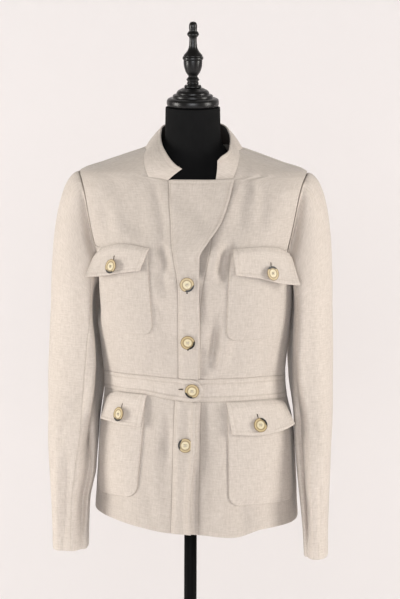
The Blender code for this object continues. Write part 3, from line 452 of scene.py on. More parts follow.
UNDER_LAPEL = [
    Crease(-1, 0.020, 1.212, 0.031, 1.292, -0.004, 0.0090, -0.0095),
    Crease(-1, 0.028, 1.262, 0.074, 1.384, -0.004, 0.0085, -0.0060),
    Crease(-1, 0.0215, 1.128, 0.0225, 1.225, 0.000, 0.0060, -0.0050),
    Crease(-1, 0.0228, 1.048, 0.0250, 1.118, 0.000, 0.0060, -0.0045),
    Crease(-1, 0.0145, 0.785, 0.0155, 0.960, 0.000, 0.0075, -0.0048),
]
CREASE_SWELL = 0.3
SWELL_PLACE = 2.0
CREASE_FADE = 0.35
SIDE_FADE = 0.04
RUMPLE = 0.0006
WIDE_RUMPLE = (27, 27, 13)
FINE_RUMPLE = (66, 66, 40)
FINE_SHARE = 0.4


def ease(share):
    """Soft step from 0 to 1."""
    share = np.clip(share, 0.0, 1.0)
    return share * share * (3 - 2 * share)


def unit(vectors):
    return vectors / np.linalg.norm(vectors, axis=-1, keepdims=True)


def fold_depth(folds, angle, height):
    """Sum of the large soft folds at each place."""
    degrees = np.degrees(angle)
    total = np.zeros(np.shape(degrees))
    for fold in folds:
        share = np.clip((height - fold.bottom) / (fold.top - fold.bottom), 0.0, 1.0)
        line = fold.bottom_angle + (fold.top_angle - fold.bottom_angle) * share
        fade = ease(4 * (1 - share)) * ease(4 * share + (fold.bottom < HEM_LEVEL))
        total = total + fold.depth * fade * np.exp(-((degrees - line) / fold.width) ** 2)
    return total


def crease_depth(creases, plain):
    """Sum of the creases: each a trough or ridge between two places, with a slight swell on both sides."""
    total = np.zeros(plain.shape[:-1])
    for crease in creases:
        run, rise = crease.high_x - crease.low_x, crease.high_z - crease.low_z
        length = math.hypot(run, rise)
        from_x, from_z = plain[..., 0] - crease.low_x, plain[..., 2] - crease.low_z
        along = (from_x * run + from_z * rise) / length**2
        bowed = crease.bow * np.sin(math.pi * np.clip(along, 0.0, 1.0))
        reach = np.abs((from_x * rise - from_z * run) / length - bowed) / crease.width
        profile = np.exp(-reach**2) - CREASE_SWELL * np.exp(-(reach - SWELL_PLACE) ** 2)
        dark_inside = ease(0.5 + crease.face * plain[..., 1] / SIDE_FADE)
        total += crease.depth * profile * dark_inside * ease(along / CREASE_FADE) * ease((1 - along) / CREASE_FADE)
    return total


def rumple(plain):
    """Slight unevenness of limp linen, longer down the cloth than across it."""
    places = plain.reshape(-1, 3)
    uneven = [noise.noise(Vector(wide)) + FINE_SHARE * noise.noise(Vector(fine))
              for wide, fine in zip(places * WIDE_RUMPLE, places * FINE_RUMPLE)]
    return RUMPLE * np.reshape(uneven, plain.shape[:-1])


def body(angle, height, out=0.0, under=()):
    """Points and normals on the middle of the jacket's cloth, folds and creases included, moved out."""
    angle, height = np.broadcast_arrays(np.asarray(angle, float), np.asarray(height, float))
    turn, rise = 0.002, 0.0005
    plain = skin(BODY, angle, height)
    along = skin(BODY, angle + turn, height) - skin(BODY, angle - turn, height)
    up = skin(BODY, angle, height + rise) - skin(BODY, angle, height - rise)
    normals = unit(np.cross(along, up))
    creased = crease_depth([*CREASES, *under], plain)
    offset = np.asarray(out + fold_depth(BODY_FOLDS, angle, height) + creased + rumple(plain))
    return plain + normals * offset[..., None], normals


def front_angle(across, height):
    """Angle of a place on the front, from its distance across."""
    reach = (across - column(BODY, "shift", height)) / column(BODY, "half_width", height)
    return -np.arccos(np.clip(signed_power(reach, column(BODY, "square", height) / 2), -1.0, 1.0))


def mirrored(angle, side):
    """Angle on the wearer's left turned into the matching one on the given side."""
    return angle if side > 0 else -math.pi - angle


def armhole_angle(height, face):
    """Angle from the left side line to the armhole's edge, on the front or on the back."""
    reach = np.where(height > UNDERARM, column(ARMHOLE, face, height), 0.0)
    reach = np.where(height >= SHOULDER_TIP, 0.0, reach)
    share = np.clip(reach / column(BODY, face, height), 0.0, 1.0)
    return np.arcsin(share ** (column(BODY, "square", height) / 2))


def waist_line(name, angle):
    """Level of a waist seam or of the hem at each angle."""
    return column(WAIST, name, (np.degrees(angle) + 180) % 360 - 180)


def settle(angle, height):
    """Bring bodice rows below the underarm down onto the waistband's upper seam."""
    share = np.clip((UNDERARM - height) / (UNDERARM - WAIST_LEVEL), 0.0, 1.0)
    return height + (waist_line("top", angle) - WAIST_LEVEL) * share


# how the cloth lies along an edge: at a seam it dips in, along a turned edge a row of topstitching dents it
Edge = namedtuple("Edge", "distances depths")
SEAM = Edge((0.0, 0.0008, 0.0018, 0.0036), (-0.0005, -0.0002, 0.0, 0.0))
ARMHOLE_SEAM = Edge((0.0, 0.0008, 0.0020, 0.0040), (-0.0013, -0.0008, -0.0002, 0.0))
TURNED = Edge((0.0, 0.0012, 0.0030, 0.0050, 0.0060, 0.0070, 0.0090),
              (-0.0003, 0.0001, 0.0002, 0.0001, -0.0003, 0.0, 0.0))
HEM = Edge((0.0, 0.0015, 0.0050, 0.0180, 0.0195, 0.0210), (0.0, 0.0003, 0.0003, 0.0003, 0.0001, 0.0))


def dip(edge, distance):
    return np.interp(distance, edge.distances, edge.depths, right=0.0)


def spread(lengths, first, last, inner):
    """Shares along lines of cloth of the given lengths: close steps at both edges and even ones between."""
    lengths = np.atleast_1d(np.asarray(lengths, float))
    room = np.minimum(1.0, lengths / (2.5 * (first.distances[-1] + last.distances[-1])))
    start = np.outer(room / lengths, first.distances)
    end = 1 - np.outer(room / lengths, last.distances)[:, ::-1]
    even = np.linspace(0.0, 1.0, inner + 2)[1:-1]
    return np.concatenate([start, start[:, -1:] + (end[:, :1] - start[:, -1:]) * even, end], axis=1)


def edged(start, end, levels, first, last, inner):
    """Angles across the rows of a panel, close along its two edges, and how deep the cloth dips there."""
    ladder = start[:, None] + (end - start)[:, None] * np.linspace(0.0, 1.0, 13)
    rungs = np.diff(skin(BODY, ladder, levels[:, None] + 0 * ladder), axis=1)
    widths = np.linalg.norm(rungs, axis=-1).sum(axis=1)
    share = spread(widths, first, last, inner)
    dips = dip(first, share * widths[:, None]) + dip(last, (1 - share) * widths[:, None])
    return start[:, None] + (end - start)[:, None] * share, dips


def close_rows(keys, low, high):
    """Levels through the key ones, no further apart than a row, close along the lowest and highest edge."""
    bottom = keys[0] + np.array(low.distances)
    top = keys[-1] - np.array(high.distances)[::-1]
    rows = [np.linspace(a, b, math.ceil((b - a) / ROW_STEP) + 1)[:-1] for a, b in zip(keys[:-1], keys[1:])]
    rows = np.concatenate(rows)
    keep = (rows > bottom[-1] + ROW_STEP / 3) & (rows < top[0] - ROW_STEP / 3)
    levels = np.concatenate([bottom, rows[keep], top])
    return levels, dip(low, levels - levels[0]) + dip(high, levels[-1] - levels)


def weave_map(points):
    """Thread-straight coordinates of a grid of cloth, in metres: along its rows and up its columns."""
    middle = points.shape[1] // 2
    across = np.pad(np.cumsum(np.linalg.norm(np.diff(points, axis=1), axis=-1), axis=1), ((0, 0), (1, 0)))
    rise = np.pad(np.cumsum(np.linalg.norm(np.diff(points[:, middle], axis=0), axis=-1)), (1, 0))
    across = across - across[:, middle:middle + 1]
    return np.stack([across, rise[:, None] + 0 * across], axis=-1)


def maths(tree, operation, *values, **settings):
    return wire(tree, "ShaderNodeMath", enumerate(values), operation=operation, **settings).outputs[0]


def blend(tree, share, *tones):
    """Mix of two colours, each of them fixed or put out by another node."""
    first, second = (tone if isinstance(tone, bpy.types.NodeSocket) else (*tone, 1.0) for tone in tones)
    return wire(tree, "ShaderNodeMix", {0: share, 6: first, 7: second}, data_type="RGBA").outputs[2]


# uneven threads of a plain weave: a tone that changes thread by thread, and a height for the relief
weave = bpy.data.node_groups.new("slubby_plain_weave", "ShaderNodeTree")
weave.interface.new_socket("Cloth", in_out="INPUT", socket_type="NodeSocketVector")
weave.interface.new_socket("Slub", in_out="INPUT", socket_type="NodeSocketFloat")
weave.interface.new_socket("Tone", in_out="OUTPUT", socket_type="NodeSocketFloat")
weave.interface.new_socket("Height", in_out="OUTPUT", socket_type="NodeSocketFloat")
given = weave.nodes.new("NodeGroupInput")
result = weave.nodes.new("NodeGroupOutput")
THREAD = 0.00075
parts = wire(weave, "ShaderNodeSeparateXYZ", {0: given.outputs["Cloth"]})
waves = []
for axis in ("X", "Y"):
    waves.append(maths(weave, "SINE", maths(weave, "MULTIPLY", parts.outputs[axis], math.pi / THREAD)))
knuckle = maths(weave, "ABSOLUTE", maths(weave, "MULTIPLY", *waves))
SLUB_SCALES = ((430.0, 55.0, 0.0), (60.0, 470.0, 3.0), (1250.0, 130.0, 5.0), (140.0, 1250.0, 8.0))
slubs = []
for across_scale, along_scale, seed in SLUB_SCALES:
    stretched = wire(weave, "ShaderNodeMapping", {"Vector": given.outputs["Cloth"],
                                                  "Location": (0.0, 0.0, seed),
                                                  "Scale": (across_scale, along_scale, 1.0)})
    slubs.append(speckle(weave, stretched.outputs[0], 1.0, Roughness=0.6))
both = maths(weave, "ADD", maths(weave, "ADD", *slubs[:2]), maths(weave, "ADD", *slubs[2:]))
centred = maths(weave, "SUBTRACT", both, 2.0)
tone = maths(weave, "MULTIPLY_ADD", centred, given.outputs["Slub"], 0.5, use_clamp=True)
height = maths(weave, "MULTIPLY_ADD", knuckle, 0.5, both)
weave.links.new(tone, result.inputs["Tone"])
weave.links.new(height, result.inputs["Height"])


# the same linen in three tones, the palest on the collar, sleeves and flaps
LINEN_DARK = (0.494, 0.430, 0.370)
LINEN_LIGHT = (0.684, 0.614, 0.550)
DARKER_TONE = 0.885
MID_TONE = 0.94
SLUB = 0.95
# painted shade in seams and stitching: how strongly, and toward what brown tint, the linen is darkened
SEAM_SHADE = 0.34
SHADE_TINT = (0.45, 0.38, 0.31)


def woven(tree, slub):
    """The weave, laid by the cloth's own thread map."""
    cloth = wire(tree, "ShaderNodeUVMap", uv_map="weave").outputs["UV"]
    return wire(tree, "ShaderNodeGroup", {"Cloth": cloth, "Slub": slub}, node_tree=weave)


def linen_finish(name, tone):
    """Linen whose threads run with the cloth, a little darker with painted shade where a seam or stitch dents
    it.
    """
    dark, light = np.multiply(tone, LINEN_DARK), np.multiply(tone, LINEN_LIGHT)
    material, tree, shader = new_finish(name, light, 0.88, Sheen_Weight=0.25, Sheen_Roughness=0.45)
    threads = woven(tree, SLUB)
    yarn = blend(tree, threads.outputs["Tone"], dark, light)
    mottle = speckle(tree, object_place(tree), 34.0, 3.0)
    clouded = blend(tree, ranged(tree, mottle, 0.3, 0.7, 0.0, 0.10), yarn, dark)
    # painted shade: the dip stored at each point darkens the linen where seams and stitching dent it
    painted_seam_shade = wire(tree, "ShaderNodeAttribute", attribute_name="painted_seam_shade").outputs["Fac"]
    painted_shade_share = maths(tree, "MULTIPLY", painted_seam_shade, SEAM_SHADE)
    seam_shaded = blend(tree, painted_shade_share, clouded, np.multiply(dark, SHADE_TINT))
    tree.links.new(seam_shaded, shader.inputs["Base Color"])
    raise_surface(tree, shader, threads.outputs["Height"], 0.00030, 0.7)
    return material


linen = linen_finish("natural_linen", 1.0)
darker_linen = linen_finish("darker_linen_tone", DARKER_TONE)
mid_linen = linen_finish("mid_linen_tone", MID_TONE)
FULL_SHADE_DIP = 0.0009


def cloth_panel(node, points, normals, dips, wall=CLOTH, finish=linen,
                inside=None):
    """Shell of cloth on a grid of points: an inner sheet, the outer one drawn out of it, and rounded rims."""
    rows, columns = points.shape[:2]
    inner = (points - normals * wall / 2).reshape(-1, 3)
    outer = (points + normals * wall / 2).reshape(-1, 3)
    shape = bmesh.new()
    place = shape.verts.layers.int.new("place")
    grid = bmesh.ops.create_grid(shape, x_segments=columns - 1, y_segments=rows - 1, size=1.0)
    for index, vertex in enumerate(grid["verts"]):
        vertex[place] = index
        vertex.co = inner[index]
    drawn = bmesh.ops.extrude_face_region(shape, geom=shape.faces[:])
    outside = {item for item in drawn["geom"] if isinstance(item, bmesh.types.BMVert)}
    for vertex in outside:
        vertex.co = outer[vertex[place]]
    bmesh.ops.recalc_face_normals(shape, faces=shape.faces)
    if inside:
        for face in shape.faces:
            face.material_index = int(not any(vertex in outside for vertex in face.verts))
    piece = place_piece(f"{node}_cloth", shape, finish, "linen", node)
    mesh = piece.data
    if inside:
        mesh.materials.append(inside)
    places = np.empty(len(mesh.vertices), int)
    mesh.attributes["place"].data.foreach_get("value", places)
    corners = np.empty(len(mesh.loops), int)
    mesh.loops.foreach_get("vertex_index", corners)
    thread_places = weave_map(points).reshape(-1, 2)[places[corners]]
    mesh.uv_layers.new(name="weave").data.foreach_set("uv", thread_places.ravel())
    # painted shade: each point's dip at a seam, turned edge or stitching is stored for the linen to darken it
    painted_seam_shade = np.clip(-dips / FULL_SHADE_DIP, 0.0, 1.0) * np.ones((rows, columns))
    mesh.attributes.new("painted_seam_shade", "FLOAT", "POINT").data.foreach_set("value", painted_seam_shade.ravel()[places])
    mesh.attributes.remove(mesh.attributes["place"])
    soften(piece, "rounded_rim", wall * 0.3, 2, 60)
    return piece


keys = np.concatenate([[WAIST_LEVEL], [row.height for row in ARMHOLE],
                       np.linspace(SHOULDER_TIP, NECK_POINT, 6)[1:]])
levels, row_dips = close_rows(keys, SEAM, SEAM)
back_edge = armhole_angle(levels, "back")
angle, dips = edged(back_edge, math.pi - back_edge, levels, ARMHOLE_SEAM, ARMHOLE_SEAM, 78)
dips = dips + row_dips[:, None]
points, normals = body(angle, settle(angle, levels[:, None] + 0 * angle), dips)
cloth_panel("back_bodice", points, normals, dips,
            finish=darker_linen)
FRONTS = (("front_bodice_right", -1, "seam_right", [], 0.0646),
          ("front_bodice_left", 1, "seam_left", UNDER_LAPEL, 0.0649))
for node, side, seam, under, area in FRONTS:
    neck = column(BODY, "shift", levels) + side * column(NECKLINE, "half_width", levels)
    across = np.where(levels > NECK_EDGE, neck, column(BODICE_FRONT, seam, levels))
    arm = mirrored(-armhole_angle(levels, "front"), side)
    angle, dips = edged(front_angle(across, levels), arm, levels, SEAM, ARMHOLE_SEAM, 40)
    dips = dips + row_dips[:, None]
    points, normals = body(angle, settle(angle, levels[:, None] + 0 * angle), dips, under)
    cloth_panel(node, points, normals, dips, finish=darker_linen)


# Topstitching: a lockstitch in matching linen thread, short plump stitches set end to end along an edge.
# Each row lies in the dent that it has drawn into the cloth, at an even distance from the edge.
# the stitching of a seam or a turned edge lies in its fifth line of points, where the cloth is dented
TOPSTITCH = 0.006
DENT_LINE = 4
LAST_DENT_LINE = -5
STITCH_PITCH = 0.0031
STITCH_SIZE = (0.00135, 0.00030, 0.00024)

thread_finish, tree, shader = new_finish("linen_thread", (0.56, 0.485, 0.41), 0.7, Sheen_Weight=0.2)
twist = speckle(tree, object_place(tree), 1500.0, 1.0)
ply = blend(tree, twist, (0.42, 0.36, 0.30), (0.66, 0.58, 0.50))
tree.links.new(ply, shader.inputs["Base Color"])


def shifted(path, normals, distance):
    """Path on the cloth moved sideways in the cloth, to the left of its way seen from outside."""
    aside = unit(np.cross(normals, np.gradient(path, axis=0)))
    return path + aside * distance


def stitch_frames(path, normals, lift=CLOTH / 2):
    """Middle, direction, side and outward way of each stitch along a path."""
    steps = np.linalg.norm(np.diff(path, axis=0), axis=1)
    travel = np.concatenate([[0.0], np.cumsum(steps)])
    count = max(int(travel[-1] / STITCH_PITCH), 1)
    spots = (np.arange(count) + 0.5) * travel[-1] / count

    def read(values, at):
        return np.stack([np.interp(at, travel, values[:, axis]) for axis in range(3)], axis=-1)

    ways = unit(read(path, spots + STITCH_PITCH / 3) - read(path, spots - STITCH_PITCH / 3))
    outs = unit(read(normals, spots))
    return read(path, spots) + outs * lift, ways, unit(np.cross(outs, ways)), outs


def stitched_piece(name, runs, size=STITCH_SIZE, finish=thread_finish):
    """All the stitches of one group, as one mesh: a plump seed shape set along each run of frames."""
    seed = bmesh.new()
    bmesh.ops.create_icosphere(seed, subdivisions=1, radius=1.0)
    seed.verts.index_update()
    corners = np.array([vertex.co for vertex in seed.verts]) * size
    faces = np.array([[vertex.index for vertex in face.verts] for face in seed.faces])
    seed.free()
    middles, ways, sides, outs = (np.concatenate(parts) for parts in zip(*runs))
    spots = (middles[:, None] + corners[:, :1] * ways[:, None] + corners[:, 1:2] * sides[:, None]
             + corners[:, 2:] * outs[:, None]).reshape(-1, 3)
    sides_of = (faces[None] + len(corners) * np.arange(len(middles))[:, None, None]).reshape(-1, 3)
    mesh = bpy.data.meshes.new(name)
    mesh.from_pydata(spots.tolist(), [], sides_of.tolist())
    set_piece(name, mesh, finish)


# Plackets of the bodice: two strips sewn down the fronts. The right one laps over the left one, carries the
# buttonholes and widens at the top into a turned lapel that lifts along its free edge.
LAP = 0.0028
LAP_RISE = 0.009
UNDERLAP_EDGE = -0.003
LAPEL_LIFT = 0.0065
LAPEL_SPAN = 0.045
LAPEL_BREAK = 1.240
LAPEL_RISE = 0.040
PLACKET_SEAM = Edge((0.0, 0.0008, 0.0016, 0.0024, 0.0036, 0.0050),
                    (-0.0007, -0.0003, 0.0, 0.0002, -0.0002, 0.0))


def lap_out(across, seam, lap):
    """How far the right front stands out over the left one, rising from its seam."""
    return lap * ease((across - seam) / LAP_RISE)


def placket_out(angle, height):
    """Stand-off of the right placket, with the free edge of the lapel lifting at the top."""
    across = skin(BODY, angle, height)[..., 0]
    toward_edge = ease((across - column(BODICE_FRONT, "free_edge", height) + LAPEL_SPAN) / LAPEL_SPAN)
    lift = LAPEL_LIFT * toward_edge * ease((height - LAPEL_BREAK) / LAPEL_RISE)
    return lap_out(across, column(BODICE_FRONT, "seam_right", height), LAP) + lift


levels, row_dips = close_rows(np.array([WAIST_LEVEL, 1.250, NECK_EDGE]), SEAM, TURNED)
seam = front_angle(column(BODICE_FRONT, "seam_right", levels), levels)
free = front_angle(column(BODICE_FRONT, "free_edge", levels), levels)
angle, dips = edged(seam, free, levels, PLACKET_SEAM, TURNED, 18)
dips = dips + row_dips[:, None]
rows = levels[:, None] + 0 * angle
points, normals = body(angle, settle(angle, rows), placket_out(angle, rows) + dips)
cloth_panel("placket_bodice_right", points, normals, dips,
            finish=darker_linen)
bodice_runs = [stitch_frames(shifted(points[:, -1], normals[:, -1], TOPSTITCH), normals[:, -1]),
               stitch_frames(points[:, DENT_LINE], normals[:, DENT_LINE]),
               stitch_frames(shifted(points[-1], normals[-1], -TOPSTITCH), normals[-1])]

under_edge = front_angle(UNDERLAP_EDGE + 0 * levels, levels)
seam = front_angle(column(BODICE_FRONT, "seam_left", levels), levels)
angle, dips = edged(under_edge, seam, levels, TURNED, PLACKET_SEAM, 8)
dips = dips + row_dips[:, None]
points, normals = body(angle, settle(angle, levels[:, None] + 0 * angle), dips, UNDER_LAPEL)
cloth_panel("placket_bodice_left", points, normals, dips,
            finish=darker_linen)
bodice_runs.append(stitch_frames(points[:, LAST_DENT_LINE], normals[:, LAST_DENT_LINE]))
stitched_piece("stitching_plackets", bodice_runs)


# Waistband: three lengths of doubled linen round the waist, edge-stitched and topstitched along both seams.
# The right length ends in a rounded tab that laps over the left one and takes the third button.
BAND_CLOTH = 0.0020
BAND_PROUD = 0.0004
BAND_LAP = 0.0036
TAB_CENTRE = 0.0072
BAND_HEIGHT = 0.037
BAND_EDGE = Edge((0.0, 0.0008, 0.0014, 0.0022, 0.0066, 0.0076, 0.0086),
                 (-0.0004, -0.0001, -0.0005, 0.0001, 0.0001, -0.0006, 0.0))
BAND_STITCHES = (0.0014, 0.0076)
TAB_SHARES = [0.004, 0.012, 0.988, 0.996]


def band_levels(angle, share):
    low, high = waist_line("bottom", angle), waist_line("top", angle)
    return low + (high - low) * share


def band_length(node, start, end, share, first, last, inner, lap):
    """One length of the waistband between two end lines, dented by the stitching along both long edges."""
    angle, dips = edged(start, end, np.full(len(share), WAIST_LEVEL), first, last, inner)
    long_dips = dip(BAND_EDGE, share * BAND_HEIGHT) + dip(BAND_EDGE, (1 - share) * BAND_HEIGHT)
    dips = dips + long_dips[:, None]
    across = skin(BODY, angle, WAIST_LEVEL + 0 * angle)[..., 0]
    out = BAND_PROUD + lap_out(across, column(BODICE_FRONT, "seam_right", WAIST_LEVEL), lap)
    points, normals = body(angle, band_levels(angle, share[:, None]), out + dips)
    cloth_panel(node, points, normals, dips, wall=BAND_CLOTH, finish=mid_linen)
    return points, normals


band_share = spread(BAND_HEIGHT, BAND_EDGE, BAND_EDGE, 6)[0]
band_lines = [BAND_EDGE.distances.index(distance) for distance in BAND_STITCHES]
band_rows = band_lines + [-1 - line for line in band_lines]
level = np.full(len(band_share), WAIST_LEVEL)
side = 0 * level
under_edge = front_angle(UNDERLAP_EDGE + side, level)
PLAIN_LENGTHS = (("waistband_back", side, side + math.pi, SEAM, 90, (0.373, 0.037)),
                 ("waistband_left", under_edge, side, TURNED, 44, (0.225, 0.037)))
half = BAND_CLOTH / 2
band_runs = []
for node, start, end, first, inner, flat in PLAIN_LENGTHS:
    points, normals = band_length(node, start, end, band_share, first, SEAM, inner, 0.0)
    band_runs += [stitch_frames(points[row], normals[row], half) for row in band_rows]

rounded = np.sort(np.concatenate([band_share, TAB_SHARES]))
level = np.full(len(rounded), WAIST_LEVEL)
half_band = (waist_line("top", -math.pi / 2) - waist_line("bottom", -math.pi / 2)) / 2
tab_end = TAB_CENTRE + half_band * np.sqrt(1 - (2 * rounded - 1) ** 2)
points, normals = band_length("waistband_right", 0 * level - math.pi, front_angle(tab_end, level), rounded,
                              SEAM, TURNED, 56, BAND_LAP)
tab_lines = [int(np.argmin(np.abs(rounded - band_share[row]))) for row in band_rows]
band_runs += [stitch_frames(points[row, :-6], normals[row, :-6], half) for row in tab_lines]
low_line, high_line = sorted(tab_lines)[1:3]
between = (slice(low_line, high_line + 1), LAST_DENT_LINE)
band_runs.append(stitch_frames(points[between], normals[between], half))
stitched_piece("stitching_waistband", band_runs)


# Skirt of the jacket: a back, two fronts and two plackets, seamed to the waistband and flared over the hips.
# The hem is turned up inside; the right placket laps over the left one and carries the lowest buttonhole.
SKIRT_FRONT = [
    Front(0.800, -0.0250, 0.0090, 0.0195),
    Front(0.860, -0.0235, 0.0075, 0.0200),
    Front(0.950, -0.0215, 0.0145, 0.0220),
    Front(1.020, -0.0192, 0.0150, 0.0225),
]
SKIRT_TOP = 1.0185
SKIRT_UNDERLAP_EDGE = -0.007
SKIRT_LENGTH = SKIRT_TOP - HEM_LEVEL
EDGE_LIFT = 0.0044
EDGE_SPAN = 0.014

skirt_share = spread(SKIRT_LENGTH, HEM, SEAM, 38)[0]
skirt_dips = dip(HEM, skirt_share * SKIRT_LENGTH) + dip(SEAM, (1 - skirt_share) * SKIRT_LENGTH)
levels = HEM_LEVEL + SKIRT_LENGTH * skirt_share
seam_right = column(SKIRT_FRONT, "seam_right", levels)
right_line = front_angle(seam_right, levels)
left_line = front_angle(column(SKIRT_FRONT, "seam_left", levels), levels)
free_line = front_angle(column(SKIRT_FRONT, "free_edge", levels), levels)
under_line = front_angle(SKIRT_UNDERLAP_EDGE + 0 * levels, levels)
side = 0 * levels
SKIRT_PANELS = (
    ("skirt_back", side, side + math.pi, SEAM, SEAM, 84, 0.0, (0.45, 0.21), 0.0931),
    ("skirt_right", side - math.pi, right_line, SEAM, SEAM, 40, 0.0, (0.21, 0.21), 0.0398),
    ("skirt_left", left_line, side, SEAM, SEAM, 40, 0.0, (0.22, 0.21), 0.0448),
    ("placket_skirt_right", right_line, free_line, PLACKET_SEAM, TURNED, 8, LAP, (0.040, 0.21), 0.0080),
    ("placket_skirt_left", under_line, left_line, TURNED, PLACKET_SEAM, 6, 0.0, (0.035, 0.21), 0.0065),
)
skirt_runs = []
for node, start, end, first, last, inner, lap, flat, area in SKIRT_PANELS:
    angle, dips = edged(start, end, levels, first, last, inner)
    dips = dips + skirt_dips[:, None]
    across = skin(BODY, angle, levels[:, None] + 0 * angle)[..., 0]
    out = lap_out(across, seam_right[:, None], lap)
    if lap:
        out = out + EDGE_LIFT * ease((across - across[:, -1:]) / EDGE_SPAN + 1)
    low, high = waist_line("hem", angle), waist_line("bottom", angle)
    under = UNDER_LAPEL if "left" in node else []
    points, normals = body(angle, low + (high - low) * skirt_share[:, None], out + dips, under)
    cloth_panel(node, points, normals, dips, finish=darker_linen)
    if first is PLACKET_SEAM:
        skirt_runs.append(stitch_frames(points[:, DENT_LINE], normals[:, DENT_LINE]))
        skirt_runs.append(stitch_frames(shifted(points[:, -1], normals[:, -1], TOPSTITCH), normals[:, -1]))
    if last is PLACKET_SEAM:
        skirt_runs.append(stitch_frames(points[:, LAST_DENT_LINE], normals[:, LAST_DENT_LINE]))
stitched_piece("stitching_skirt", skirt_runs)


# Stand collar: one doubled strip sewn to the neckline, with free ends in front, stiff enough to stand.
# Its right end lies pointed over the neckline and its left end stands up; the inside is coloured near-black
# brown.
Rim = namedtuple("Rim", "station across depth height")
COLLAR_RIGHT = [
    Rim(0.00, -0.0101, -0.0860, 1.3884),
    Rim(0.07, -0.0196, -0.0800, 1.3936),
    Rim(0.14, -0.0282, -0.0700, 1.4002),
    Rim(0.22, -0.0372, -0.0550, 1.4102),
    Rim(0.30, -0.0445, -0.0350, 1.4197),
    Rim(0.37, -0.0481, -0.0150, 1.4285),
    Rim(0.45, -0.0503, 0.0100, 1.4368),
    Rim(0.55, -0.0483, 0.0320, 1.4423),
    Rim(0.75, -0.0289, 0.0550, 1.4463),
    Rim(1.00, 0.0006, 0.0600, 1.4484),
]
COLLAR_LEFT = [
    Rim(0.00, 0.0452, -0.0720, 1.4005),
    Rim(0.07, 0.0513, -0.0680, 1.4069),
    Rim(0.14, 0.0587, -0.0580, 1.4112),
    Rim(0.21, 0.0627, -0.0450, 1.4160),
    Rim(0.29, 0.0624, -0.0220, 1.4233),
    Rim(0.37, 0.0608, 0.0000, 1.4319),
    Rim(0.46, 0.0571, 0.0200, 1.4383),
    Rim(0.58, 0.0496, 0.0400, 1.4436),
    Rim(0.76, 0.0323, 0.0550, 1.4469),
    Rim(1.00, 0.0006, 0.0600, 1.4484),
]
COLLAR_BULGE = 0.0020
COLLAR_GAP = -0.0008
COLLAR_HEIGHT = 0.036
COLLAR_CLOTH = 0.0020

dark_inside, tree, shader = new_finish("dark_brown_inside", (0.020, 0.014, 0.010), 0.85, Sheen_Weight=0.1)
threads = woven(tree, 0.8)
brown = blend(tree, threads.outputs["Tone"], (0.012, 0.008, 0.006), (0.032, 0.022, 0.015))
tree.links.new(brown, shader.inputs["Base Color"])
raise_surface(tree, shader, threads.outputs["Height"], 0.0002, 0.5)


def grid_normals(points):
    """Normals of a grid of points from its own neighbours."""
    return unit(np.cross(np.gradient(points, axis=1), np.gradient(points, axis=0)))


JOIN = Edge((0.0, 0.0010, 0.0020), (0.0, 0.0, 0.0))
collar_share = spread(COLLAR_HEIGHT, JOIN, TURNED, 5)[0]
halves = []
for side, table, seam in ((-1, COLLAR_RIGHT, "seam_right"), (1, COLLAR_LEFT, "seam_left")):
    climb_levels = np.linspace(SHOULDER_TIP, NECK_POINT, 26)
    middle = column(BODY, "shift", climb_levels)
    climb = front_angle(middle + side * column(NECKLINE, "half_width", climb_levels), climb_levels)
    start = body(front_angle(column(BODICE_FRONT, seam, NECK_EDGE), NECK_EDGE), NECK_EDGE)[0]
    corner = body(climb[0], SHOULDER_TIP)[0]
    front_run = start + np.linspace(0.0, 1.0, 13)[:-1, None] * (corner - start)
    back_run = body(mirrored(np.linspace(0.0, math.pi / 2, 36), side), NECK_POINT)[0]
    base = np.concatenate([front_run, body(climb, climb_levels)[0], back_run])
    steps = np.linalg.norm(np.diff(base, axis=0), axis=1)
    station = np.concatenate([[0.0], np.cumsum(steps)]) / np.sum(steps)
    rim = np.stack([column(table, name, station) for name in ("across", "depth", "height")], axis=-1)
    share = collar_share[:, None, None]
    outward = unit(base * [1, 1, 0])
    foot = base + unit(rim - base) * COLLAR_GAP
    halves.append(foot + (rim - foot) * share + outward * COLLAR_BULGE * np.sin(math.pi * share))
points = np.concatenate([halves[0], halves[1][:, -2::-1]], axis=1)
normals = -grid_normals(points)
dips = dip(JOIN, collar_share * COLLAR_HEIGHT) + dip(TURNED, (1 - collar_share) * COLLAR_HEIGHT)
dips = dips[:, None] + np.zeros(points.shape[:2])
points = points + normals * dips[..., None]
cloth_panel("collar", points, normals, dips,
            COLLAR_CLOTH, inside=dark_inside)
half = COLLAR_CLOTH / 2
stitched_piece("stitching_collar", [
    stitch_frames(points[LAST_DENT_LINE], normals[LAST_DENT_LINE], half),
    stitch_frames(shifted(points[:, 0], normals[:, 0], TOPSTITCH), normals[:, 0], half),
    stitch_frames(shifted(points[:, -1], normals[:, -1], -TOPSTITCH), normals[:, -1], half)])


# Sleeves: each an upper and an under sleeve joined by a front and a back seam, eased into the armhole.
# They hang slack from the shoulder, with long soft folds, small gathers at the head and creased elbows.
Ring = namedtuple(
    "Ring", "height centre_x centre_y half_width half_depth square slant front_seam back_seam tuck lean")
SLEEVE_RIGHT = [
    Ring(0.772, -0.1892, -0.060, 0.0270, 0.045, 3.2, 0.14, 88, 285, 0.000, 0.000),
    Ring(0.845, -0.1895, -0.055, 0.0298, 0.048, 3.1, 0.16, 86, 290, 0.000, 0.000),
    Ring(0.900, -0.1867, -0.050, 0.0363, 0.051, 3.0, 0.18, 85, 295, 0.002, -0.002),
    Ring(0.960, -0.1872, -0.034, 0.0389, 0.055, 2.9, 0.22, 82, 300, 0.010, -0.010),
    Ring(1.040, -0.1897, -0.010, 0.0387, 0.058, 2.8, 0.28, 85, 302, 0.036, -0.030),
    Ring(1.100, -0.1910, 0.000, 0.0360, 0.060, 2.7, 0.32, 82, 304, 0.040, -0.036),
    Ring(1.160, -0.1933, 0.008, 0.0321, 0.060, 2.7, 0.29, 58, 306, 0.038, -0.026),
]
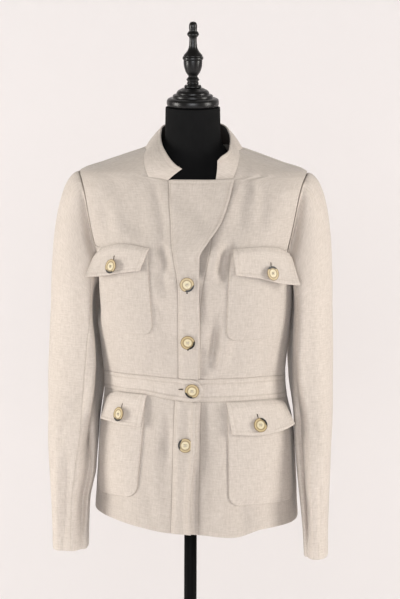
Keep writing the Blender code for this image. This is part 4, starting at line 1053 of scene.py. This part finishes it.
SLEEVE_LEFT = [
    Ring(0.765, 0.2050, -0.058, 0.0181, 0.047, 3.2, 0.12, 52, 300, 0.000, 0.002),
    Ring(0.835, 0.2022, -0.053, 0.0210, 0.050, 3.1, 0.14, 51, 302, 0.000, 0.004),
    Ring(0.908, 0.1993, -0.047, 0.0265, 0.053, 3.0, 0.16, 55, 304, 0.002, 0.008),
    Ring(0.985, 0.1970, -0.022, 0.0304, 0.057, 2.9, 0.20, 58, 304, 0.012, 0.008),
    Ring(1.040, 0.1956, -0.008, 0.0323, 0.059, 2.8, 0.28, 53, 304, 0.028, 0.005),
    Ring(1.100, 0.1954, 0.000, 0.0317, 0.060, 2.7, 0.34, 52, 304, 0.034, 0.002),
    Ring(1.160, 0.1955, 0.008, 0.0300, 0.060, 2.6, 0.36, 50, 306, 0.033, 0.000),
]
SLEEVE_FOLDS = [
    Fold(0.780, 108, 1.200, 78, 16, -0.0018),
    Fold(0.850, 62, 1.130, 50, 13, 0.0020),
    Fold(0.770, 236, 1.100, 228, 16, -0.0050),
    Fold(0.820, 276, 1.150, 270, 14, 0.0040),
    Fold(1.230, 128, 1.345, 136, 12, -0.0030),
]
CREASES_BOTH = [
    Fold(0.930, 96, 1.120, 66, 6, -0.0016),
    Fold(0.800, 142, 0.990, 128, 7, -0.0012),
    Fold(0.985, 150, 1.030, 92, 5, -0.0014),
    Fold(0.950, 152, 1.000, 100, 6, -0.0012),
    Fold(1.180, 88, 1.300, 104, 7, -0.0013),
    Fold(1.160, 112, 1.320, 120, 5, 0.0010),
    Fold(0.790, 205, 1.060, 196, 8, 0.0014),
    Fold(0.960, 210, 1.030, 262, 6, -0.0016),
    Fold(1.000, 205, 1.060, 258, 7, -0.0013),
    Fold(1.140, 232, 1.330, 214, 8, -0.0016),
]
CREASES_RIGHT = [
    Fold(0.740, 52, 0.990, 46, 32, -0.0060),
    Fold(0.900, 38, 1.170, 36, 24, -0.0150),
    Fold(0.740, 102, 0.955, 96, 15, -0.0080),
    Fold(0.920, 124, 1.040, 78, 10, -0.0030),
    Fold(0.860, 92, 1.000, 84, 7, 0.0018),
]
CREASES_LEFT = [
    Fold(0.740, 38, 1.120, 36, 24, -0.0050),
    Fold(0.795, 74, 0.868, 66, 9, -0.0036),
    Fold(0.890, 68, 0.965, 76, 8, -0.0030),
    Fold(0.800, 112, 0.900, 104, 9, -0.0020),
]
FALLEN_RIGHT = [Fold(0.700, 46, 1.010, 38, 34, -0.0330)]
FALLEN_LEFT = [Fold(0.700, 43, 1.060, 38, 28, -0.0320)]
Gather = namedtuple("Gather", "place width depth reach")
GATHERS = [
    Gather(8.3, 0.16, 0.0010, 0.020), Gather(8.9, 0.13, -0.0012, 0.030), Gather(9.4, 0.14, 0.0013, 0.034),
    Gather(9.9, 0.12, -0.0014, 0.036), Gather(10.4, 0.15, 0.0013, 0.030), Gather(11.1, 0.22, -0.0010, 0.022),
    Gather(12.0, 0.20, 0.0010, 0.024), Gather(12.7, 0.14, -0.0012, 0.030), Gather(13.3, 0.16, 0.0011, 0.026),
    Gather(14.0, 0.15, -0.0010, 0.022),
]
GATHERS_RIGHT = [Gather(4.6, 1.5, -0.0120, 0.014), Gather(6.8, 1.2, -0.0060, 0.008)]
GATHERS_LEFT = [Gather(4.8, 1.6, -0.0140, 0.016), Gather(7.0, 1.2, -0.0085, 0.010),
                Gather(9.0, 0.18, -0.0030, 0.055), Gather(9.5, 0.16, 0.0016, 0.050)]
BICEPS = 1.160
TUCK_POWER = 1.5
ARMHOLE_GAP = 0.0004
CUFF_HOLD = 0.5
CUFF_RISE = 0.06
SLEEVE_STEP = 0.006
HEM_ROOM = 0.024
GATHER_START = 0.004
UNDERARM_OUT = 0.0030
CAP_REACH_TOP = 0.114
CAP_REACH_UNDER = 0.012
CAP_REACH_POWER = 1.5
CAP_DROP_TOP = 0.015
CAP_DROP_UNDER = 0.032
CAP_FALL = 1.1
CAP_STEPS = [0.0, 0.005, 0.011, 0.022, 0.04, 0.07, 0.10, 0.14, 0.18, 0.22, 0.27, 0.315, 0.36, 0.42, 0.48,
             0.54, 0.61, 0.685, 0.76, 0.84, 0.92, 1.0]
LOOP_TIP = len(ARMHOLE) - 1
LOOP_END = 2 * LOOP_TIP
FRONT_SEAM_PLACE = 4
BACK_SEAM_PLACE = LOOP_END - 5
LOOP_PLACES = [0, FRONT_SEAM_PLACE, LOOP_TIP, BACK_SEAM_PLACE, LOOP_END]
LOOP_SCALE = 0.0150
Arm = namedtuple("Arm", "side rings creases fallen gathers")
RIGHT_ARM = Arm(-1, SLEEVE_RIGHT, CREASES_BOTH + CREASES_RIGHT, FALLEN_RIGHT, GATHERS + GATHERS_RIGHT)
LEFT_ARM = Arm(1, SLEEVE_LEFT, CREASES_BOTH + CREASES_LEFT, FALLEN_LEFT, GATHERS + GATHERS_LEFT)


def sleeve_grid(arm, place):
    """Grid of a sleeve: rows from the armhole to the cuff, columns by place round the armhole's edge."""
    side, rings = arm.side, arm.rings
    cuff = rings[0].height
    heights = [row.height for row in ARMHOLE]
    levels = np.interp(np.minimum(place, LOOP_END - place), np.arange(LOOP_TIP + 1), heights)
    reach = np.where(place <= LOOP_TIP, -armhole_angle(levels, "front"), armhole_angle(levels, "back"))
    edge = body(mirrored(reach, side), levels)[0]

    def ring(height):
        knots = [0, column(rings, "front_seam", height), 180, column(rings, "back_seam", height), 360]
        angle = np.radians(np.interp(place, LOOP_PLACES, knots))
        level = height + 0 * angle
        loose = CUFF_HOLD + (1 - CUFF_HOLD) * ease((height - cuff) / CUFF_RISE)
        fold = fold_depth(SLEEVE_FOLDS, angle, level) + loose * fold_depth(arm.creases, angle, level)
        back = loose * fold_depth(arm.fallen, angle, level)
        inward, ahead = np.cos(angle), np.sin(angle)
        turn = 2 / column(rings, "square", height)
        across = (column(rings, "half_width", height) + fold) * signed_power(inward, turn)
        depth = (column(rings, "half_depth", height) + fold + back) * signed_power(ahead, turn)
        depth = depth * (1 + np.where(ahead > 0, column(rings, "slant", height) * inward, 0.0))
        tuck = column(rings, "tuck", height) * np.clip(-ahead, 0.0, None) ** TUCK_POWER
        lean = column(rings, "lean", height) * np.clip(ahead, 0.0, None) ** TUCK_POWER
        across = across + (tuck - lean) * (1 + inward) / 2
        return np.stack([column(rings, "centre_x", height) - side * across,
                         column(rings, "centre_y", height) - depth, level], axis=-1)

    hole = np.array([edge[:, 0].mean(), edge[:, 1].mean(), (UNDERARM + SHOULDER_TIP) / 2])
    rise = ((levels - UNDERARM) / (SHOULDER_TIP - UNDERARM))[:, None]
    edge = edge + unit(hole - edge) * ARMHOLE_GAP * [0, 1, 1]
    edge = edge + (ARMHOLE_GAP + UNDERARM_OUT * (1 - rise) ** 4) * [side, 0, 0]
    reach = CAP_REACH_UNDER + (CAP_REACH_TOP - CAP_REACH_UNDER) * rise**CAP_REACH_POWER
    drop = CAP_DROP_UNDER + (CAP_DROP_TOP - CAP_DROP_UNDER) * rise
    leave = reach * [side, 0, 0] - drop * [0, 0, 1]
    arrive = (levels[:, None] - BICEPS) * [0, 0, -CAP_FALL]
    target = ring(BICEPS)
    rows = []
    for step in CAP_STEPS:
        rest = 1 - step
        rows.append(edge * (1 + 2 * step) * rest**2 + target * (3 - 2 * step) * step**2
                    + step * rest * (leave * rest - arrive * step))
    rows += [ring(height) for height in np.arange(BICEPS - SLEEVE_STEP, cuff + HEM_ROOM, -SLEEVE_STEP)]
    rows += [ring(cuff + distance) for distance in HEM.distances[::-1]]
    return np.array(rows)


def seam_places(start, end, count):
    """Places round the armhole from one sleeve seam to the other, close along both."""
    return start + (end - start) * spread((end - start) * LOOP_SCALE, SEAM, SEAM, count)[0]


UPPER_PLACES = seam_places(FRONT_SEAM_PLACE, BACK_SEAM_PLACE, 44)
UNDER_PLACES = np.concatenate([seam_places(BACK_SEAM_PLACE, LOOP_END, 14),
                               seam_places(0, FRONT_SEAM_PLACE, 12)[1:]])
SLEEVES = (
    ("sleeve_upper_right", RIGHT_ARM, UPPER_PLACES, (0.23, 0.62), 0.1176),
    ("sleeve_under_right", RIGHT_ARM, UNDER_PLACES, (0.135, 0.47), 0.0544),
    ("sleeve_upper_left", LEFT_ARM, UPPER_PLACES, (0.23, 0.62), 0.1177),
    ("sleeve_under_left", LEFT_ARM, UNDER_PLACES, (0.135, 0.47), 0.0440),
)
for node, arm, places, flat, area in SLEEVES:
    points = sleeve_grid(arm, places)
    normals = grid_normals(points) * -arm.side
    travel = np.pad(np.cumsum(np.linalg.norm(np.diff(points, axis=0), axis=-1), axis=0), ((1, 0), (0, 0)))
    aside = np.pad(np.cumsum(np.linalg.norm(np.diff(points, axis=1), axis=-1), axis=1), ((0, 0), (1, 0)))
    dips = dip(ARMHOLE_SEAM, travel) + dip(SEAM, aside) + dip(SEAM, aside[:, -1:] - aside)
    dips = dips + dip(HEM, travel[-1:] - travel)
    puckers = np.zeros(points.shape[:2])
    for gather in arm.gathers:
        swell = ease(travel / GATHER_START) * np.exp(-((travel / gather.reach) ** 2))
        puckers += gather.depth * swell * np.exp(-(((places - gather.place) / gather.width) ** 2))
    points = points + normals * (dips + puckers + rumple(points))[..., None]
    cloth_panel(node, points, normals, dips)


# Patch pockets: four squares with rounded lower corners, laid on the fronts and edge-stitched on three sides.
# They hang a little full, the lower two more than the upper two.
Pocket = namedtuple("Pocket", "node side inner_bottom inner_top outer bottom top corner fullness flat")
POCKETS = [
    Pocket("pocket_upper_right", -1, -0.0530, -0.0620, 24, 1.127, 1.259, 0.016, 0.0035, (0.114, 0.134)),
    Pocket("pocket_upper_left", 1, 0.0622, 0.0670, 24, 1.119, 1.256, 0.016, 0.0035, (0.114, 0.139)),
    Pocket("pocket_lower_right", -1, -0.0790, -0.0660, 17, 0.862, 1.014, 0.018, 0.0060, (0.103, 0.155)),
    Pocket("pocket_lower_left", 1, 0.0668, 0.0645, 17, 0.853, 1.004, 0.018, 0.0060, (0.131, 0.155)),
]
PATCH_GAP = 0.0008
PATCH_EDGE = Edge((0.0, 0.0006, 0.0012, 0.0018, 0.0026, 0.0050),
                  (-0.0009, -0.0002, -0.0002, 0.0, 0.0001, 0.0))
EDGE_STITCH = 0.0014
SECOND_STITCH = 0.0072
PILLOW_SAG = 0.7

pocket_runs = []
for pocket in POCKETS:
    lower = "lower" in pocket.node
    corner_steps = pocket.corner * (1 - np.cos(np.linspace(0.0, math.pi / 2, 10)))
    levels = np.concatenate([pocket.bottom + corner_steps[:-1],
                             np.linspace(pocket.bottom + pocket.corner, pocket.top, 28)])
    share = (levels - pocket.bottom) / (pocket.top - pocket.bottom)
    below = np.clip(1 - (levels - pocket.bottom) / pocket.corner, 0.0, 1.0)
    round_off = pocket.corner * (1 - np.sqrt(1 - below**2))
    inner = pocket.inner_bottom + (pocket.inner_top - pocket.inner_bottom) * share + pocket.side * round_off
    outer = mirrored(np.radians(-pocket.outer) - round_off / BODY[5].front, pocket.side)
    angle, dips = edged(front_angle(inner, levels), outer, levels, PATCH_EDGE, PATCH_EDGE, 22)
    wide = (angle - angle[:, :1]) / (angle[:, -1:] - angle[:, :1])
    swell = np.sqrt(np.clip(np.sin(math.pi * wide), 0.0, 1.0)) * np.sin(math.pi * share**PILLOW_SAG)[:, None]
    pillow = pocket.fullness * swell
    points, normals = body(angle, levels[:, None] + 0 * angle, CLOTH + PATCH_GAP + pillow + dips)
    under = pocket.node.replace("pocket_upper", "front_bodice").replace("pocket_lower", "skirt")
    cloth_panel(pocket.node, points, normals, dips,
                finish=mid_linen if lower else darker_linen)
    rim, rim_out = (np.concatenate([grid[:0:-1, 0], grid[0], grid[1:, -1]]) for grid in (points, normals))
    stitch_lines = (EDGE_STITCH, SECOND_STITCH) if lower else (EDGE_STITCH,)
    for distance in stitch_lines:
        pocket_runs.append(stitch_frames(shifted(rim, rim_out, pocket.side * distance), rim_out))
stitched_piece("stitching_pockets", pocket_runs)


# Pocket flaps: doubled linen, sewn along the top and folded down over the pocket's mouth, with sharp corners.
# They stand off at their free edge and outer end, and are topstitched round three sides.
Flap = namedtuple(
    "Flap", "node side inner inner_low outer tops bottoms lift spread aside button_share button_level flat")
FLAPS = [
    Flap("flap_upper_right", -1, -0.0590, -0.0715, 23, (1.264, 1.269, 1.262, 1.246),
         (1.228, 1.2225, 1.2165, 1.2145), 0.0075, 0.030, 0.0100, 0.45, 1.233, (0.102, 0.050)),
    Flap("flap_upper_left", 1, 0.0715, 0.0745, 23, (1.264, 1.266, 1.263, 1.251),
         (1.223, 1.2175, 1.2085, 1.2045), 0.0075, 0.024, 0.0155, 0.53, 1.2245, (0.115, 0.052)),
    Flap("flap_lower_right", -1, -0.0630, -0.0705, 27, (1.0280, 1.0280, 1.0275, 1.0215),
         (0.976, 0.977, 0.9795, 0.982), 0.0080, 0.010, 0.0000, 0.46, 0.994, (0.078, 0.054)),
    Flap("flap_lower_left", 1, 0.0620, 0.0705, 20, (1.0175, 1.0175, 1.0160, 1.0120),
         (0.967, 0.964, 0.9675, 0.976), 0.0080, 0.023, 0.0040, 0.38, 0.981, (0.115, 0.055)),
]
FLAP_STEP = 0.0032
FLAP_HINGE = 0.18
FLAP_SPREAD_POWER = 2.5
FLAP_INNER_LIFT = 0.6
FLAP_SEAM_FLARE = 0.2
FLAP_CLOTH = 0.0026


def flap_surface(flap, wide, drop, out=0.0):
    """Points of a flap: wide runs from its inner to its outer end, drop from its seam to its free edge."""
    stations = np.linspace(0.0, 1.0, len(flap.tops))
    top, bottom = curve(stations, flap.tops, wide), curve(stations, flap.bottoms, wide)
    level = top + (bottom - top) * drop
    inner = front_angle(flap.inner + (flap.inner_low - flap.inner) * drop, level)
    outer = mirrored(np.radians(-flap.outer), flap.side)
    lift = flap.lift * drop * (FLAP_INNER_LIFT + (1 - FLAP_INNER_LIFT) * wide)
    stand_off = FLAP_STEP * ease(drop / FLAP_HINGE) + lift
    points, normals = body(inner + (outer - inner) * wide, level, CLOTH + PATCH_GAP + stand_off + out)
    low_flare = FLAP_SEAM_FLARE + (1 - FLAP_SEAM_FLARE) * drop
    flare = np.clip(wide, 0.0, None) ** FLAP_SPREAD_POWER * low_flare
    return points + flare[..., None] * [flap.side * flap.aside, -flap.spread, 0.0]


def flap_normals(flap, wide, drop):
    step = 0.01
    along = flap_surface(flap, wide + step, drop) - flap_surface(flap, wide - step, drop)
    up = flap_surface(flap, wide, drop - step) - flap_surface(flap, wide, drop + step)
    return unit(np.cross(along, up)) * flap.side


flap_runs = []
for flap in FLAPS:
    width, length = flap.flat
    wide_share = spread(width, TURNED, TURNED, 18)[0]
    drop_share = spread(length, SEAM, TURNED, 12)[0]
    wide, drop = np.meshgrid(wide_share, drop_share)
    dips = (dip(TURNED, wide * width) + dip(TURNED, (1 - wide) * width) + dip(SEAM, drop * length)
            + dip(TURNED, (1 - drop) * length))
    points, normals = flap_surface(flap, wide, drop, dips), flap_normals(flap, wide, drop)
    cloth_panel(flap.node, points, normals, dips, wall=FLAP_CLOTH)
    first, last = DENT_LINE, LAST_DENT_LINE
    rim, rim_out = (np.concatenate([grid[2:last, first], grid[last, first:last], grid[last:1:-1, last]])
                    for grid in (points, normals))
    flap_runs.append(stitch_frames(rim, rim_out, FLAP_CLOTH / 2))
stitched_piece("stitching_flaps", flap_runs)


# Buttons: eight cream horn discs with a broad rolled rim and a dished middle, dark on one side of the rim,
# partly the horn's own streak and partly painted shade.
# They are sewn on through four holes with linen thread; those of the flaps are turned a little to the side.
BUTTON_RADIUS = 0.0115
BUTTON_CLEAR = 0.0009
BUTTON = [Turn(0.0, 0.0), Turn(0.0088, 0.0), Turn(0.0106, 0.0007), Turn(0.0115, 0.0019), Turn(0.0112, 0.0030),
          Turn(0.0103, 0.0037), Turn(0.0092, 0.0037), Turn(0.0082, 0.0031), Turn(0.0075, 0.0024),
          Turn(0.0066, 0.0023), Turn(0.0050, 0.0026), Turn(0.0034, 0.0024), Turn(0.0, 0.0022)]
BUTTON_FACE = 0.0024
HOLE_PLACE = 0.0013
HOLE_RADIUS = 0.0007
HOLE_LIFT = 0.00005
THREAD_LIFT = 0.0003
THREAD_SIZE = (0.0021, 0.00038, 0.00035)
FrontButton = namedtuple("FrontButton", "node across height lap dark_side")
FRONT_BUTTONS = [
    FrontButton("button_front_1", 0.0011, 1.2093, LAP, -55),
    FrontButton("button_front_2", 0.0023, 1.1174, LAP, -40),
    FrontButton("button_front_3", 0.0087, 1.0372, BAND_LAP + BAND_PROUD, -120),
    FrontButton("button_front_4", -0.0015, 0.9498, LAP, 170),
]
FlapButton = namedtuple("FlapButton", "dark_side turn raise_up")
FLAP_BUTTONS = {
    "flap_upper_right": FlapButton(-95, 16, 0.0020),
    "flap_upper_left": FlapButton(85, 12, 0.0014),
    "flap_lower_right": FlapButton(-95, 16, 0.0020),
    "flap_lower_left": FlapButton(40, 4, 0.0006),
}

horn, tree, shader = new_finish("cream_horn", (0.55, 0.46, 0.30), 0.42, Specular_IOR_Level=0.35,
                                Coat_Weight=0.05, Coat_Roughness=0.3)
disc = wire(tree, "ShaderNodeUVMap", uv_map="disc").outputs["UV"]
from_middle = wire(tree, "ShaderNodeVectorMath", {0: disc}, operation="LENGTH").outputs["Value"]
# cream tones by distance from the middle, with painted shade as a dark ring in the groove and on the outer
# edge of the rim
layers = wire(tree, "ShaderNodeValToRGB", {"Fac": from_middle})
layers.color_ramp.elements[0].color = (0.50, 0.42, 0.26, 1.0)
layers.color_ramp.elements[1].color = (0.10, 0.062, 0.025, 1.0)
for radius, tone in ((0.20, (0.62, 0.55, 0.37)), (0.50, (0.66, 0.58, 0.39)), (0.60, (0.24, 0.165, 0.075)),
                     (0.69, (0.36, 0.275, 0.14)), (0.83, (0.55, 0.44, 0.25)), (0.93, (0.30, 0.215, 0.10))):
    layers.color_ramp.elements.new(radius).color = (*tone, 1.0)
grain = wire(tree, "ShaderNodeMapping", {"Vector": disc, "Scale": (0.9, 3.2, 1.0)}).outputs[0]
bands = speckle(tree, grain, 1.4, 3.0, Distortion=0.8)
banding = ranged(tree, bands, 0.45, 0.75, 0.0, 0.45)
banded = blend(tree, banding, layers.outputs["Color"], (0.34, 0.25, 0.12))
cloud = speckle(tree, object_place(tree), 260.0, 3.0)
# a dark patch on one side of the rim: partly the horn's own streak, partly painted shade
toward = wire(tree, "ShaderNodeSeparateXYZ", {0: disc}).outputs["X"]
dark_tip = ranged(tree, maths(tree, "MULTIPLY_ADD", cloud, 0.5, toward), 0.74, 0.92)
dark_streak_and_painted_shade = maths(tree, "MULTIPLY", dark_tip, ranged(tree, from_middle, 0.66, 0.76))
streaked_and_shaded = blend(tree, dark_streak_and_painted_shade, banded, (0.006, 0.004, 0.003))
tree.links.new(streaked_and_shaded, shader.inputs["Base Color"])
tree.links.new(ranged(tree, bands, 0.0, 1.0, 0.32, 0.50), shader.inputs["Roughness"])
# painted shade: near-black for the insides of the buttons' holes and of the buttonhole slits, where no light
# reaches
painted_hole_shade, tree, shader = new_finish("painted_shade_in_holes", (0.012, 0.009, 0.006), 0.95, Specular_IOR_Level=0.0)
depth = blend(tree, speckle(tree, object_place(tree), 900.0), (0.006, 0.004, 0.003), (0.020, 0.014, 0.009))
tree.links.new(depth, shader.inputs["Base Color"])


def flap_drop(flap, wide, level):
    """How far down a flap the given level lies."""
    steps = np.linspace(0.0, 1.0, 21)
    levels = np.array([flap_surface(flap, wide, step)[2] for step in steps])
    return np.interp(-level, -levels, steps)


seats = []
for button in FRONT_BUTTONS:
    wall = BAND_CLOTH if button.lap > LAP else CLOTH
    out = button.lap + wall / 2 + BUTTON_CLEAR
    point, normal = body(front_angle(button.across, button.height), button.height, out)
    seats.append((button.node, point, Vector(normal), button.dark_side))
for flap in FLAPS:
    sewn = FLAP_BUTTONS[flap.node]
    wide = np.array(flap.button_share)
    drop = flap_drop(flap, wide, flap.button_level)
    normal = Vector(flap_normals(flap, wide, drop))
    lift = FLAP_CLOTH / 2 + BUTTON_CLEAR + sewn.raise_up
    point = flap_surface(flap, wide, drop) + np.array(normal) * lift
    normal.rotate(Euler((0.0, 0.0, flap.side * math.radians(sewn.turn))))
    seats.append((flap.node.replace("flap", "button"), point, normal, sewn.dark_side))

thread_runs = []
for node, point, out, dark_side in seats:
    shape = turned_shape(BUTTON, 0.0, 0.0, 48)
    disc_map = shape.loops.layers.uv.new("disc")
    cosine, sine = math.cos(math.radians(dark_side)), math.sin(math.radians(dark_side))
    for face in shape.faces:
        for loop in face.loops:
            x, y = loop.vert.co.x / BUTTON_RADIUS, loop.vert.co.y / BUTTON_RADIUS
            loop[disc_map].uv = (x * cosine + y * sine, y * cosine - x * sine)
    # each of the four holes is a dark disc of painted shade, laid just above the button's face
    for spot in ((1, 1), (1, -1), (-1, -1), (-1, 1)):
        ring = bmesh.ops.create_circle(shape, cap_ends=True, segments=12, radius=HOLE_RADIUS)["verts"]
        lift = (spot[0] * HOLE_PLACE, spot[1] * HOLE_PLACE, BUTTON_FACE + HOLE_LIFT)
        bmesh.ops.translate(shape, verts=ring, vec=lift)
        for face in {face for vertex in ring for face in vertex.link_faces}:
            face.material_index = 1
    across = Vector((0, 0, 1)).cross(out).normalized()
    up = out.cross(across)
    for vertex in shape.verts:
        vertex.co = Vector(point) + across * vertex.co.x + up * vertex.co.y + out * vertex.co.z
    piece = place_piece(f"{node}_horn", shape, horn, "horn", node)
    piece.data.materials.append(painted_hole_shade)
    middle = np.array(point) + np.array(out) * (BUTTON_FACE + THREAD_LIFT)
    spots = middle + np.array([across * (share * HOLE_PLACE) for share in (-1, -0.7, 0.7, 1)])
    thread_runs.append((spots, np.array([up] * 4), np.array([across] * 4), np.array([out] * 4)))
stitched_piece("button_thread", thread_runs, THREAD_SIZE)


# Buttonholes: slits cut through the doubled cloth and whipped round with linen thread. Those of the flaps run
# up from their buttons and the waistband's runs sideways; of the upper two in the front only the ends show.
SLIT_SIZE = (0.0046, 0.00085, 0.00035)
SLIT_END_SIZE = (0.0017, 0.0012, 0.00035)
SLIT_RISE = 0.0142
BAND_SLIT = (-0.0092, 1.0397)
END_DROP = 0.0128
WHIP_ASIDE = 0.0014
WHIP_SIZE = (0.0009, 0.00024, 0.00022)
WHIP_PITCH = 0.0007


def slit_on_front(across, height, out):
    """Middle of a buttonhole on the front, with the ways across and up the cloth there."""
    angle, step = front_angle(across, height), 0.004
    middle, normal = body(angle, height, out)
    up = unit(body(angle, height + step, out)[0] - body(angle, height - step, out)[0])
    return middle, unit(np.cross(up, normal)), up, normal


slits = []
for flap in FLAPS:
    wide = np.array(flap.button_share)
    drop = flap_drop(flap, wide, flap.button_level + SLIT_RISE)
    normal = flap_normals(flap, wide, drop)
    up = unit(flap_surface(flap, wide, drop - 0.03) - flap_surface(flap, wide, drop + 0.03))
    slits.append((flap_surface(flap, wide, drop) + normal * FLAP_CLOTH / 2, up, np.cross(normal, up), normal))
slits.append(slit_on_front(*BAND_SLIT, BAND_LAP + BAND_PROUD + BAND_CLOTH / 2))
ends = []
for button in FRONT_BUTTONS[:2]:
    middle, across, up, normal = slit_on_front(button.across, button.height - END_DROP, LAP + CLOTH / 2)
    ends.append((middle, up, across, normal))


def as_runs(frames):
    return [tuple(np.array([part]) for part in frame) for frame in frames]


# each slit and slit end is a dark shape of painted shade, standing for the dark inside of the cut
stitched_piece("buttonhole_slit_shade", as_runs(slits), SLIT_SIZE, painted_hole_shade)
stitched_piece("buttonhole_end_shade", as_runs(ends), SLIT_END_SIZE, painted_hole_shade)
whips = []
for middle, along, aside, normal in slits:
    for step in np.arange(-SLIT_SIZE[0], SLIT_SIZE[0], WHIP_PITCH):
        for edge in (-WHIP_ASIDE, WHIP_ASIDE):
            whips.append((middle + along * step + aside * edge, aside, along, normal))
stitched_piece("buttonhole_whipping", as_runs(whips), WHIP_SIZE)


# Floor and backdrop: one pale sheet of paper that runs along the floor and sweeps up behind the form.
# It shows from its front only. Two soft boxes stand far out at the sides, a wide soft fill stands in front,
# and a long light above washes the backdrop.
SWEEP_HALF_WIDTH = 6.0
BEND_START = 1.2
SWEEP_PATH = [(-6.0, 0.0), (BEND_START, 0.0)]
SWEEP_RADIUS = 1.2
SWEEP_TOP = 5.5
PALE = (0.836, 0.806, 0.810)
PAINTED_SHADE_ABOVE = (0.724, 0.702, 0.706)
SHADE_FADE_LEVELS = (0.5, 1.6)

shape = bmesh.new()
bend = [(BEND_START + SWEEP_RADIUS * math.sin(turn), SWEEP_RADIUS * (1 - math.cos(turn)))
        for turn in np.linspace(0.0, math.pi / 2, 17)[1:]]
path = SWEEP_PATH + bend + [(bend[-1][0], SWEEP_TOP)]
profile = [shape.verts.new((-SWEEP_HALF_WIDTH, y, z)) for y, z in path]
lines = [shape.edges.new(pair) for pair in zip(profile[:-1], profile[1:])]
drawn = bmesh.ops.extrude_edge_only(shape, edges=lines)
bmesh.ops.translate(shape, verts=[item for item in drawn["geom"] if isinstance(item, bmesh.types.BMVert)],
                    vec=(2 * SWEEP_HALF_WIDTH, 0, 0))
bmesh.ops.recalc_face_normals(shape, faces=shape.faces)
bmesh.ops.reverse_faces(shape, faces=shape.faces)
mesh = bpy.data.meshes.new("pale_sweep")
shape.to_mesh(mesh)
shape.free()
mesh.shade_smooth()
paper, tree, shader = new_finish("pale_paper", PALE, 0.95)
# painted shade: the paper is drawn darker towards the top of the backdrop
height = wire(tree, "ShaderNodeSeparateXYZ", {0: object_place(tree)}).outputs["Z"]
shade_above = ranged(tree, height, *SHADE_FADE_LEVELS)
tree.links.new(blend(tree, shade_above, PALE, PAINTED_SHADE_ABOVE), shader.inputs["Base Color"])
behind = wire(tree, "ShaderNodeNewGeometry").outputs["Backfacing"]
clear = wire(tree, "ShaderNodeBsdfTransparent").outputs[0]
one_sided = wire(tree, "ShaderNodeMixShader", {0: behind, 1: shader.outputs[0], 2: clear})
tree.links.new(one_sided.outputs[0], tree.nodes["Material Output"].inputs["Surface"])
mesh.materials.append(paper)
sweep = bpy.data.objects.new("pale_sweep", mesh)
bpy.context.scene.collection.objects.link(sweep)

SoftBox = namedtuple("SoftBox", "name place aim width height watts colour")
SOFT_BOXES = [
    SoftBox("soft_box_left", (-3.42, -1.0, 1.35), (0.0, 0.0, 1.1), 1.2, 1.6, 100.0, (1.0, 0.970, 0.925)),
    SoftBox("soft_box_right", (3.4, -1.0, 1.7), (0.0, 0.0, 1.1), 1.2, 1.8, 92.0, (1.0, 0.970, 0.925)),
    SoftBox("soft_fill", (0.2, -4.9, 1.9), (0.0, 0.0, 1.05), 2.4, 1.6, 130.0, (0.975, 0.997, 1.040)),
    SoftBox("backdrop_wash", (0.0, 1.3, 4.6), (0.0, 1.75, 0.2), 4.0, 1.0, 18.0, (1.0, 0.985, 0.97)),
]
for box in SOFT_BOXES:
    lamp = bpy.data.lights.new(box.name, "AREA")
    lamp.shape = "RECTANGLE"
    lamp.size, lamp.size_y = box.width, box.height
    lamp.energy = box.watts
    lamp.color = box.colour
    light = bpy.data.objects.new(box.name, lamp)
    light.location = box.place
    light.rotation_euler = (Vector(box.aim) - Vector(box.place)).to_track_quat("-Z", "Y").to_euler()
    bpy.context.scene.collection.objects.link(light)
world = bpy.data.worlds.new("studio_room")
world.use_nodes = True
room = world.node_tree.nodes["Background"]
room.inputs["Color"].default_value = (1.0, 0.905, 0.800, 1.0)
room.inputs["Strength"].default_value = 0.20
bpy.context.scene.world = world
bpy.context.scene.view_settings.view_transform = "Standard"


# Camera: a long lens about seven metres away, a little above and to the wearer's left of the front.
# It looks down by some nine degrees and is rolled by a fifth of a degree.
CAMERA_PLACE = (0.4273, -6.9869, 2.2643)
CAMERA_TURN = (90.0 - 8.915, 0.0, 3.385)
CAMERA_ROLL = 0.20
CAMERA_LENS = 265.2

camera = bpy.data.cameras.new("photo_camera")
camera.lens = CAMERA_LENS
camera.sensor_width = 36.0
viewpoint = bpy.data.objects.new("photo_camera", camera)
viewpoint.location = CAMERA_PLACE
viewpoint.rotation_euler = [math.radians(part) for part in CAMERA_TURN]
viewpoint.rotation_euler.rotate_axis("Z", math.radians(CAMERA_ROLL))
bpy.context.scene.collection.objects.link(viewpoint)
bpy.context.scene.camera = viewpoint
